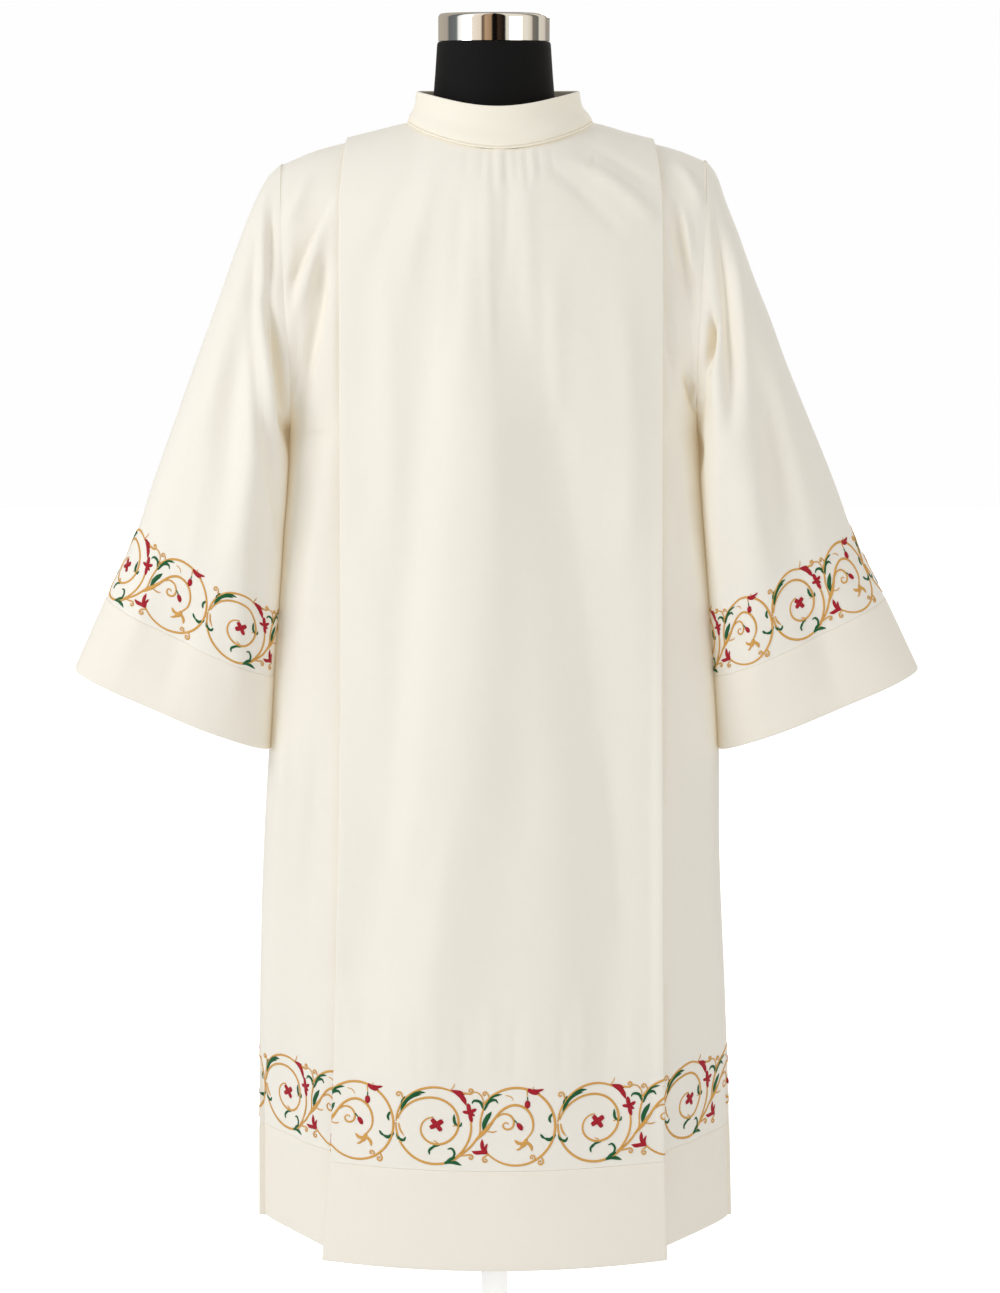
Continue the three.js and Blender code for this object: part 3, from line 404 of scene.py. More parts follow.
PANEL_ROWS = ([("z", z) for z in np.linspace(HEM_SEAM_Z + .12, ARMPIT_Z, 92)[:-1]]
              + [("level", (k / 27) ** 1.5) for k in range(27)]
              + [("beta", b) for b in np.linspace(90, 0, 31)])
BAND_ROWS = [("z", z) for z in (HEM_Z, HEM_Z + .5, HEM_Z + 1.4, 320, 326, 334, 344, 354, 364, 374, 384, 394,
                                402, 408, 412, 413.8, 414.8, HEM_SEAM_Z - .12)]


# ---------------------------------------------------------------- walls
def unit(v):
    n = np.linalg.norm(v, axis=-1, keepdims=True)
    return v / np.where(n < 1e-9, 1, n)


def normals(grid, wrap):
    if wrap:
        before, after = np.roll(grid, 1, 1), np.roll(grid, -1, 1)
    else:
        before = np.concatenate([grid[:, :1], grid[:, :-1]], 1)
        after = np.concatenate([grid[:, 1:], grid[:, -1:]], 1)
    below = np.concatenate([grid[:1], grid[:-1]])
    above = np.concatenate([grid[1:], grid[-1:]])
    along = unit(grid - before) + unit(after - grid)
    up = unit(grid - below) + unit(above - grid)
    return unit(np.cross(along, up))


def arc(grid):
    """Length along each row from its first point."""
    d = np.linalg.norm(np.diff(grid, axis=1), axis=2)
    return np.concatenate([np.zeros((len(grid), 1)), np.cumsum(d, 1)], 1)


def mesh_object(name, verts, faces, materials, face_materials=None, attributes=None, sharp=50):
    me = bpy.data.meshes.new(name)
    me.from_pydata((np.asarray(verts, float) * MM).tolist(), [], faces)
    me.polygons.foreach_set("use_smooth", np.ones(len(me.polygons), bool))
    for m in materials:
        me.materials.append(m)
    if face_materials is not None:
        me.polygons.foreach_set("material_index", np.asarray(face_materials, np.int32))
    for key, values in (attributes or {}).items():
        a = me.attributes.new(key, "FLOAT_VECTOR", "POINT")
        a.data.foreach_set("vector", np.asarray(values, np.float32).ravel())
    me.update()
    if sharp:
        me.set_sharp_from_angle(angle=math.radians(sharp))
    ob = bpy.data.objects.new(name, me)
    scene.collection.objects.link(ob)
    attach(ob, "root")
    return ob


def wall(name, grid, thick, wrap, material, st):
    """A closed wall of cloth on its middle surface. thick is one value or one for each row."""
    R, C = grid.shape[:2]
    n = normals(grid, wrap)
    t = np.broadcast_to(np.asarray(thick, float).reshape(-1, 1, 1) if np.ndim(thick) else float(thick), (R, 1, 1)) / 2
    verts = np.concatenate([(grid + n * t).reshape(-1, 3), (grid - n * t).reshape(-1, 3)])
    st = np.concatenate([st.reshape(-1, 3)] * 2)
    index = np.arange(R * C).reshape(R, C)
    nxt = np.roll(index, -1, 1) if wrap else index[:, 1:]
    here = index if wrap else index[:, :-1]
    off = R * C
    a, b, c, d = here[:-1], nxt[:-1], nxt[1:], here[1:]
    quads = [np.stack([a, b, c, d], -1).reshape(-1, 4), np.stack([a, d, c, b], -1).reshape(-1, 4) + off,
             np.stack([here[0], here[0] + off, nxt[0] + off, nxt[0]], -1),
             np.stack([here[-1], nxt[-1], nxt[-1] + off, here[-1] + off], -1)]
    if not wrap:
        e, f = index[:-1, 0], index[1:, 0]
        quads.append(np.stack([e, f, f + off, e + off], -1))
        e, f = index[:-1, -1], index[1:, -1]
        quads.append(np.stack([e, e + off, f + off, f], -1))
    return mesh_object(name, verts, np.concatenate(quads).tolist(), [material], attributes={"st": st})


# ---------------------------------------------------------------- materials
def material(name):
    m = bpy.data.materials.new(name)
    m.use_nodes = True
    nodes, links = m.node_tree.nodes, m.node_tree.links
    nodes.clear()
    out = nodes.new("ShaderNodeOutputMaterial")
    shader = nodes.new("ShaderNodeBsdfPrincipled")
    links.new(shader.outputs[0], out.inputs[0])
    return m, nodes, links, shader


def rgb(r, g, b):
    """An sRGB colour of 0 to 255, as a linear one."""
    return tuple(((c / 255 + .055) / 1.055) ** 2.4 if c > 10 else c / 255 / 12.92 for c in (r, g, b)) + (1,)


def math_node(nodes, links, op, a, b=None, clamp=False):
    n = nodes.new("ShaderNodeMath")
    n.operation, n.use_clamp = op, clamp
    for k, v in enumerate((a, b)):
        if v is None:
            continue
        if isinstance(v, (int, float)):
            n.inputs[k].default_value = v
        else:
            links.new(v, n.inputs[k])
    return n.outputs[0]


def noise(nodes, links, vector, scale3, detail=2., rough=.5):
    """Noise on a vector in metres, with cells of 1 / scale3 metres on each side."""
    m = nodes.new("ShaderNodeVectorMath")
    m.operation = "MULTIPLY"
    links.new(vector, m.inputs[0])
    m.inputs[1].default_value = scale3
    n = nodes.new("ShaderNodeTexNoise")
    n.inputs["Scale"].default_value = 1
    n.inputs["Detail"].default_value = detail
    n.inputs["Roughness"].default_value = rough
    links.new(m.outputs[0], n.inputs["Vector"])
    return n.outputs[0]


def mix(nodes, links, fac, a, b):
    n = nodes.new("ShaderNodeMix")
    n.data_type = "RGBA"
    if isinstance(fac, (int, float)):
        n.inputs[0].default_value = fac
    else:
        links.new(fac, n.inputs[0])
    for k, v in ((6, a), (7, b)):
        if isinstance(v, tuple):
            n.inputs[k].default_value = v
        else:
            links.new(v, n.inputs[k])
    return n.outputs[2]


def cloth_material(name, base, shade, band=None, weave=.10):
    """Plain-woven cloth. st holds the place along and up the cloth in metres, and how far
    a point lies in the embroidered band."""
    m, nodes, links, shader = material(name)
    attr = nodes.new("ShaderNodeAttribute")
    attr.attribute_name = "st"
    st = attr.outputs["Vector"]
    split = nodes.new("ShaderNodeSeparateXYZ")
    links.new(st, split.inputs[0])
    soft = noise(nodes, links, st, (9, 5, 0), 3)
    slub = noise(nodes, links, st, (420, 26, 0), 2)
    slub2 = noise(nodes, links, st, (22, 380, 0), 2)
    threads = math_node(nodes, links, "ADD", math_node(nodes, links, "MULTIPLY", slub, .6),
                        math_node(nodes, links, "MULTIPLY", slub2, .4))
    fac = math_node(nodes, links, "ADD", math_node(nodes, links, "MULTIPLY", soft, .55),
                    math_node(nodes, links, "MULTIPLY", threads, .45), clamp=True)
    colour = mix(nodes, links, fac, shade, base)
    if band:
        colour = mix(nodes, links, split.outputs[2], colour, band)
    # Painted shade and light: where folds lie close together, the base colour is painted darker and warmer, and the
    # cloth is given a faint warm light of its own, standing in for light that comes through the thin cloth in its
    # crevices.
    near = nodes.new("ShaderNodeAmbientOcclusion")
    near.samples = 6
    near.inputs["Distance"].default_value = .035
    painted_crevice_mask = math_node(nodes, links, "SUBTRACT", 1., near.outputs["AO"], clamp=True)
    painted_crevice_tint = math_node(nodes, links, "MULTIPLY", math_node(nodes, links, "POWER", painted_crevice_mask, 2.), .48, clamp=True)
    links.new(mix(nodes, links, painted_crevice_tint, colour, rgb(234, 212, 162)), shader.inputs["Base Color"])
    warp = noise(nodes, links, st, (1500, 190, 0), 1)
    weft = noise(nodes, links, st, (190, 1500, 0), 1)
    rough = math_node(nodes, links, "ADD", math_node(nodes, links, "MULTIPLY", threads, .16), .66)
    links.new(rough, shader.inputs["Roughness"])
    bump = nodes.new("ShaderNodeBump")
    bump.inputs["Strength"].default_value = weave
    bump.inputs["Distance"].default_value = .0006
    links.new(math_node(nodes, links, "ADD", warp, weft), bump.inputs["Height"])
    links.new(bump.outputs[0], shader.inputs["Normal"])
    # The faint warm light of the cloth in its crevices is painted light, not a lamp.
    shader.inputs["Emission Color"].default_value = (1, .84, .60, 1)
    links.new(math_node(nodes, links, "MULTIPLY", math_node(nodes, links, "POWER", painted_crevice_mask, 1.8), .07),
              shader.inputs["Emission Strength"])
    shader.inputs["Sheen Weight"].default_value = .18
    shader.inputs["Sheen Roughness"].default_value = .45
    shader.inputs["Sheen Tint"].default_value = (1, .98, .93, 1)
    shader.inputs["Specular IOR Level"].default_value = .28
    return m


def thread_material(name, base, deep):
    """Satin stitch: st holds the place along a stem and across it, in metres."""
    m, nodes, links, shader = material(name)
    attr = nodes.new("ShaderNodeAttribute")
    attr.attribute_name = "st"
    split = nodes.new("ShaderNodeSeparateXYZ")
    links.new(attr.outputs["Vector"], split.inputs[0])
    # The stitches lie a little slanted across the stem.
    slant = math_node(nodes, links, "ADD", split.outputs[0],
                      math_node(nodes, links, "MULTIPLY", split.outputs[1], .6))
    phase = math_node(nodes, links, "MULTIPLY", slant, 2 * math.pi / .00075)
    wave = math_node(nodes, links, "ADD", math_node(nodes, links, "MULTIPLY",
                     math_node(nodes, links, "SINE", phase), .5), .5)
    vary = noise(nodes, links, attr.outputs["Vector"], (600, 150, 0), 2)
    # The thread is painted darker where the stitch bump is low, in the grooves between the stitches: painted shade,
    # mixed with a random change of tone.
    fac = math_node(nodes, links, "ADD", math_node(nodes, links, "MULTIPLY", wave, .5),
                    math_node(nodes, links, "MULTIPLY", vary, .5), clamp=True)
    links.new(mix(nodes, links, fac, deep, base), shader.inputs["Base Color"])
    links.new(math_node(nodes, links, "ADD", math_node(nodes, links, "MULTIPLY", vary, .2), .36),
              shader.inputs["Roughness"])
    bump = nodes.new("ShaderNodeBump")
    bump.inputs["Strength"].default_value = .5
    bump.inputs["Distance"].default_value = .00025
    links.new(wave, bump.inputs["Height"])
    links.new(bump.outputs[0], shader.inputs["Normal"])
    shader.inputs["Specular IOR Level"].default_value = .3
    return m


def solid_material(name, base, deep, rough, bump_scale, bump_strength, metallic=0., painted_glow=0.):
    m, nodes, links, shader = material(name)
    coords = nodes.new("ShaderNodeTexCoord")
    place_ = coords.outputs["Object"]
    big = noise(nodes, links, place_, (14, 14, 14), 3)
    fine = noise(nodes, links, place_, (bump_scale,) * 3, 2)
    links.new(mix(nodes, links, big, deep, base), shader.inputs["Base Color"])
    links.new(math_node(nodes, links, "ADD", math_node(nodes, links, "MULTIPLY", big, rough * .35), rough * .8),
              shader.inputs["Roughness"])
    bump = nodes.new("ShaderNodeBump")
    bump.inputs["Strength"].default_value = bump_strength
    bump.inputs["Distance"].default_value = .0004
    links.new(fine, bump.inputs["Height"])
    links.new(bump.outputs[0], shader.inputs["Normal"])
    shader.inputs["Metallic"].default_value = metallic
    # A light of its own on a thing that is no lamp: painted light.
    if painted_glow:
        shader.inputs["Emission Color"].default_value = (1, 1, 1, 1)
        shader.inputs["Emission Strength"].default_value = painted_glow
    return m


def jersey_material():
    m, nodes, links, shader = material("black_jersey")
    coords = nodes.new("ShaderNodeTexCoord")
    place_ = coords.outputs["Object"]
    rib = noise(nodes, links, place_, (1500, 1500, 260), 1)
    soft = noise(nodes, links, place_, (18, 18, 9), 3)
    links.new(mix(nodes, links, soft, (.003, .003, .0033, 1), (.0055, .0055, .0059, 1)), shader.inputs["Base Color"])
    links.new(math_node(nodes, links, "ADD", math_node(nodes, links, "MULTIPLY", soft, .1), .72),
              shader.inputs["Roughness"])
    bump = nodes.new("ShaderNodeBump")
    bump.inputs["Strength"].default_value = .25
    bump.inputs["Distance"].default_value = .0005
    links.new(rib, bump.inputs["Height"])
    links.new(bump.outputs[0], shader.inputs["Normal"])
    shader.inputs["Sheen Weight"].default_value = .02
    shader.inputs["Specular IOR Level"].default_value = .14
    return m


CREAM = cloth_material("cream_cloth", rgb(242, 238, 228), rgb(235, 230, 219), band=rgb(238, 234, 225))
BAND = cloth_material("band_cloth", rgb(241, 236, 225), rgb(235, 229, 217))
COLLAR = cloth_material("collar_cloth", rgb(246, 241, 228), rgb(240, 234, 219))
GOLD = thread_material("gold_thread", rgb(229, 179, 98), rgb(197, 141, 63))
RED = thread_material("red_thread", rgb(190, 10, 40), rgb(140, 2, 24))
GREEN = thread_material("green_thread", rgb(10, 108, 56), rgb(2, 66, 32))
JERSEY = jersey_material()
CHROME = solid_material("chrome", (.80, .785, .76, 1), (.74, .72, .70, 1), .06, 60, .01, metallic=1.)
# The stand is given a faint light of its own, painted light that keeps it near-white on the white ground.
STAND = solid_material("white_stand", rgb(250, 250, 249), rgb(246, 246, 244), .42, 900, .12, painted_glow=.26)

# ---------------------------------------------------------------- the cloth
grids = {}


def st_of(u, v, band=None):
    band = np.zeros(u.shape) if band is None else band
    return np.stack([u * MM, v * MM, band], -1)


def creased(grid, wrap, sign, amount):
    return grid + normals(grid, wrap) * sign * amount[..., None]


EMB_LOW, EMB_HIGH = 2.0, 90.0     # reach of the embroidery above a seam
for face, name, centre, sides in ((-1, "front", FRONT_CENTRE, FRONT_SIDE), (1, "back", BACK_CENTRE, BACK_SIDE)):
    sign = -face        # the grid's normal points to -Y
    for rows, piece, thick, mat in ((PANEL_ROWS, name, CLOTH, CREAM), (BAND_ROWS, "hem_band_" + name, None, BAND)):
        grid, code, fade = panel(rows, face)
        x, z = grid[..., 0], grid[..., 2]
        # The side eases from the wrapped part below the armpit to the flat one above it.
        ease = (code == 2) * smooth(fade / 16) * smooth((110 - np.abs(z - 1165)) / 40)
        for _ in range(60):
            y = grid[..., 1]
            y[1:-1] += (y[:-2] + y[2:] - 2 * y[1:-1]) * .25 * ease[1:-1]
        amount = np.where(code == 0, relief(centre, x, z, .3) * smooth(fade / 9), 0)
        amount += np.where(code == 2, relief(sides, x, z, .4) * SIDE_DEPTH * smooth((fade + 2) / 9), 0)
        # The hidden layers of a pleat follow the top one.
        edge = np.where(x < 0, -at(PLEAT_EDGES, "left", z), at(PLEAT_EDGES, "right", z))
        follow = relief([f for f in centre if f[6] >= 8], x, z, .3) * smooth(np.abs(x - edge) / 9)
        grid = creased(grid, False, sign, amount)
        grid[..., 1] += np.where(code == 1, face * follow, 0)
        u = arc(grid)
        u -= u[:, grid.shape[1] // 2][:, None]
        v = np.broadcast_to(z - HEM_SEAM_Z, u.shape)
        if thick is None:
            zz = np.array([r[1] for r in rows])
            thick = BAND_CLOTH * np.minimum(1, .5 + .5 * np.sqrt(np.clip((zz - HEM_Z) / 1.4, 0, 1)))
            thick *= 1 - .42 * smooth((zz - (HEM_SEAM_Z - 3)) / 3)
        band = smooth((v - EMB_LOW + 3) / 3) * smooth((EMB_HIGH + 6 - v) / 5) if piece == name else None
        wall(piece + "_cloth", grid, thick, False, mat, st_of(u, v, band))
        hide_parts(piece)
        # The pleats take up a little more cloth at the embroidery than their layers show.
        taken = 41 * smooth((-u - 172) / 150) + 36 * smooth((u - 172) / 150) if face < 0 else 0
        grids[piece] = grid, u + taken, v


def armhole_ring(side):
    rows = PANEL_ROWS[91:][::-1]
    f = [half_row(r, -1, side)[0][-1] for r in rows]
    b = [half_row(r, 1, side)[0][-1] for r in rows]
    f[0] = f[0] * (1, 0, 1)
    f[-1] = np.array([f[-1][0], float(at(SIDES, "y", ARMPIT_Z)), f[-1][2]])
    return np.array(f + b[1:-1][::-1]), len(f) - 1


# How much nearer the body and further forward than its solid the sleeve's inner edge
# lies, ring by ring.
INWARD = (2, 3, 3.5, 3.5, 3.5, 3, 2.5, 1.5, 0)
FORWARD = (10, 18, 24, 26, 26, 25, 22, 18, 14)


def sleeve_surface(side):
    """Points of the sleeve by distance from the armhole, with the angle of each column."""
    ring, n_front = armhole_ring(side)
    half, mid_z = (ring[0, 2] - ARMPIT_Z) / 2, (ring[0, 2] + ARMPIT_Z) / 2
    t = np.arccos(np.clip((ring[:, 2] - mid_z) / half, -1, 1))
    t[n_front + 1:] = 2 * math.pi - t[n_front + 1:]
    rings = [ring + np.array([side * .15, 0, 0])]
    for i in range(len(SLEEVE["ox"])):
        r = {k: SLEEVE[k][i] for k in SLEEVE}
        o = np.array([side * (r["ox"] + (r["right"] if side > 0 else 0)), r["y"], r["oz"]])
        e = np.array([side * (r["ix"] - INWARD[i]), r["y"] - FORWARD[i], r["iz"]])
        mid, arm = (o + e) / 2, (o - e) / 2
        bump = np.where(t < math.pi, r["ridge"] * np.exp(-((t - 1.9) / .35) ** 2)
                        - r["ridge"] * .8 * np.exp(-((t - 1.25) / .3) ** 2), 0)
        p = mid + arm * np.cos(t)[:, None]
        # A little flatter in front and behind than an ellipse, as thin cloth hangs.
        flat = np.sign(np.sin(t)) * (1 - np.abs(np.cos(t)) ** 2.6) ** (1 / 2.6) * .94
        p[:, 1] -= r["depth"] * flat + bump * np.sin(t)
        rings.append(p)
    # The sleeve head is rounded between the seam and the first ring.
    full = np.clip(np.cos(t), 0, 1)[:, None]
    rings.insert(1, lerp(rings[0], rings[1], .38) + full * np.array([side * 2.4, 0, 2.4]))
    rings = np.array(rings)
    step = np.linalg.norm(np.diff(rings, axis=0), axis=2).mean(1)
    knots = np.concatenate([[0], np.cumsum(step)])
    return knots, rings, t, n_front


for side in (-1, 1):
    name = SIDE_NAME[side]
    knots, rings, t, n_front = sleeve_surface(side)
    seam, end = knots[CUFF_SEAM_RING], knots[-1]
    for piece, s, mat in (
            ("sleeve_" + name, np.concatenate([np.linspace(0, 30, 9)[:-1], np.linspace(30, seam - .12, 84)]), CREAM),
            ("cuff_band_" + name, np.concatenate([[seam + .12, seam + .8, seam + 1.8, seam + 3.5],
                                                  np.linspace(seam + 7, end - 4, 14),
                                                  [end - 2, end - 1, end - .3, end]]), BAND)):
        grid = pchip(knots, rings, s)
        x, z = grid[..., 0], grid[..., 2]
        front = smooth(np.sin(t) * 3)[None, :] * (t < math.pi)
        behind = smooth(-np.sin(t) * 3)[None, :] * (t > math.pi)
        start = smooth((s + 2) / 13)[:, None] * SLEEVE_DEPTH
        amount = (relief(SLEEVE_FRONT[side], x, z, .42) * front + relief(SLEEVE_BACK[side], x, z, .42) * behind) * start
        sign = side
        grid = creased(grid, True, sign, amount)
        if "cuff" in piece:
            thick = BAND_CLOTH * (1 - .42 * smooth((seam + 3 - s) / 3)) * np.minimum(1, .5 + .5 * np.sqrt(np.clip((end - s) / 1.4, 0, 1)))
        else:
            thick = CLOTH
        # u runs from the underarm seam over the back and the top to the front.
        rolled = np.roll(grid, -n_front, 1)
        closed = np.concatenate([rolled, rolled[:, :1]], 1)
        k = np.searchsorted(s, seam - 45) if "cuff" not in piece else 0
        ring_u = arc(closed)[min(k, len(s) - 1)]
        u = np.broadcast_to(np.roll(ring_u[:-1], n_front)[None, :], grid.shape[:2])
        v = np.broadcast_to((seam - s)[:, None], u.shape)
        band = smooth((v - EMB_LOW + 3) / 3) * smooth((EMB_HIGH + 6 - v) / 5) if "cuff" not in piece else None
        wall(piece + "_cloth", grid, thick, True, mat, st_of(u, v, band))
        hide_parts(piece)
        grids[piece] = closed, np.broadcast_to(ring_u, closed.shape[:2]), np.broadcast_to((seam - s)[:, None], closed.shape[:2])


# ---------------------------------------------------------------- neck
def neck_height(angle):
    total = 0
    for k in range(-3, 4):
        a = angle + k * .06
        x = NECK_X + NECK_HALF_W * np.sin(a) * .9999
        zf, zb = place(("beta", 0), -1, x, 0)[0], place(("beta", 0), 1, x, 0)[0]
        total = total + np.where(np.cos(a) >= 0, zf, zb)
    return total / 7


angles = np.linspace(-math.pi + .004, math.pi - .004, 181)
base_z = neck_height(angles)
levels = np.concatenate([[0, .012, .03], np.linspace(.07, .955, 15), .967 + .033 * np.sin(np.arange(7) / 6 * math.pi / 2)])
rows = []
for s in levels:
    front = (1 + np.cos(angles)) / 2
    z0, z1 = base_z + 2.35, lerp(1484, 1469, front ** 5)
    ease = float(pchip(COLLAR_LEAN["up"], COLLAR_LEAN["lean"], s))
    w, d = lerp(NECK_HALF_W, 80, ease), lerp(NECK_HALF_D, 76, ease)
    rows.append(np.stack([lerp(NECK_X, 4, ease) + w * np.sin(angles), -d * np.cos(angles), lerp(z0, z1, s)], -1))
collar_grid = np.array(rows)
thick = COLLAR_CLOTH * np.sqrt(np.clip(1 - ((levels - .967) / .0335) ** 2, 0.02, 1)) * (levels > .967) + COLLAR_CLOTH * (levels <= .967)
thick = thick * (1 - .35 * smooth((.03 - levels) / .03))
u = arc(collar_grid)
wall("collar_cloth", collar_grid, thick, False, COLLAR,
                              st_of(u, np.broadcast_to(levels[:, None] * 45, u.shape)))
s = np.linspace(0, 1, 7)
rows = [np.stack([NECK_X + (NECK_HALF_W + .6) * np.sin(angles), -(NECK_HALF_D + .6) * np.cos(angles),
                  base_z + .1 + k * 2.2], -1) for k in s]
binding_grid = np.array(rows)
u = arc(binding_grid)
wall("neck_binding_cloth", binding_grid, 2.0 + .8 * np.sin(math.pi * s), False, COLLAR,
                                    st_of(u, np.broadcast_to(s[:, None] * 4, u.shape)))

rows = [("level", k) for k in np.linspace(.55, .97, 12)] + [("beta", b) for b in np.linspace(90, 2.5, 26)]
placket = []
for row in rows:
    x = NECK_X + np.array([-9, -8, -4, 0, 4, 8, 9.])
    placed = place(row, 1, x, 0)
    p = points(1, x, centre_y(1, x, placed[0]), placed)
    b = np.arcsin(np.minimum(1, placed[1]))
    p += 1.9 * np.stack([np.zeros(len(x)), np.sin(b), np.cos(b)], -1)
    p += relief(BACK_CENTRE, x, placed[0])[:, None] * np.stack([np.zeros(len(x)), np.sin(b), np.cos(b)], -1)
    placket.append(p)
placket = np.array(placket)
u = arc(placket)
wall("back_placket_cloth", placket, 1.0, False, CREAM,
                                    st_of(u, placket[..., 2] - 1300))
for piece, slot in (("collar", "collar_cloth"), ("neck_binding", "collar_cloth"), ("back_placket", "cream_cloth")):
    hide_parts(piece)


# ---------------------------------------------------------------- embroidery
# One repeat of a vine scroll, REPEAT wide: a spiral round a flower, then a ring with
# branches. Each strand is a spine of (u, v) points in mm, with a width for its middle,
# how its ends narrow, and a thread.
REPEAT = 163.0
A, B, R = (40.5, 46.0), (122.0, 45.5), 39.5


def ring_arc(centre, r0, r1, a0, a1, lift=0.):
    n = max(4, int(abs(a1 - a0) / 7))
    a = np.radians(np.linspace(a0, a1, n))
    r = np.linspace(r0, r1, n)
    return np.stack([centre[0] + r * np.cos(a), centre[1] + lift + r * np.sin(a)], -1)


def through(*pts, per=6):
    """A smooth line through the points."""
    p = np.array(pts, float)
    p = np.concatenate([[2 * p[0] - p[1]], p, [2 * p[-1] - p[-2]]])
    out = []
    for i in range(1, len(p) - 2):
        for k in range(per):
            t = k / per
            out.append(.5 * (2 * p[i] + (p[i + 1] - p[i - 1]) * t
                             + (2 * p[i - 1] - 5 * p[i] + 4 * p[i + 1] - p[i + 2]) * t * t
                             + (3 * p[i] - p[i - 1] - 3 * p[i + 1] + p[i + 2]) * t ** 3))
    out.append(p[-2])
    return np.array(out)


def curl(x, y, angle, size, turn=1, lead=8.):
    """A little tendril that leaves (x, y) at an angle and rolls up."""
    a = math.radians(angle)
    start = np.array([x, y])
    tip = start + lead * np.array([math.cos(a), math.sin(a)])
    hub = tip + size * turn * np.array([-math.sin(a), math.cos(a)])
    out = [start, (start + tip) / 2]
    for k in range(12):
        f = a - turn * math.pi / 2 + turn * math.radians(400) * k / 11
        out.append(hub + size * (1 - .75 * k / 11) * np.array([math.cos(f), math.sin(f)]))
    return np.array(out)


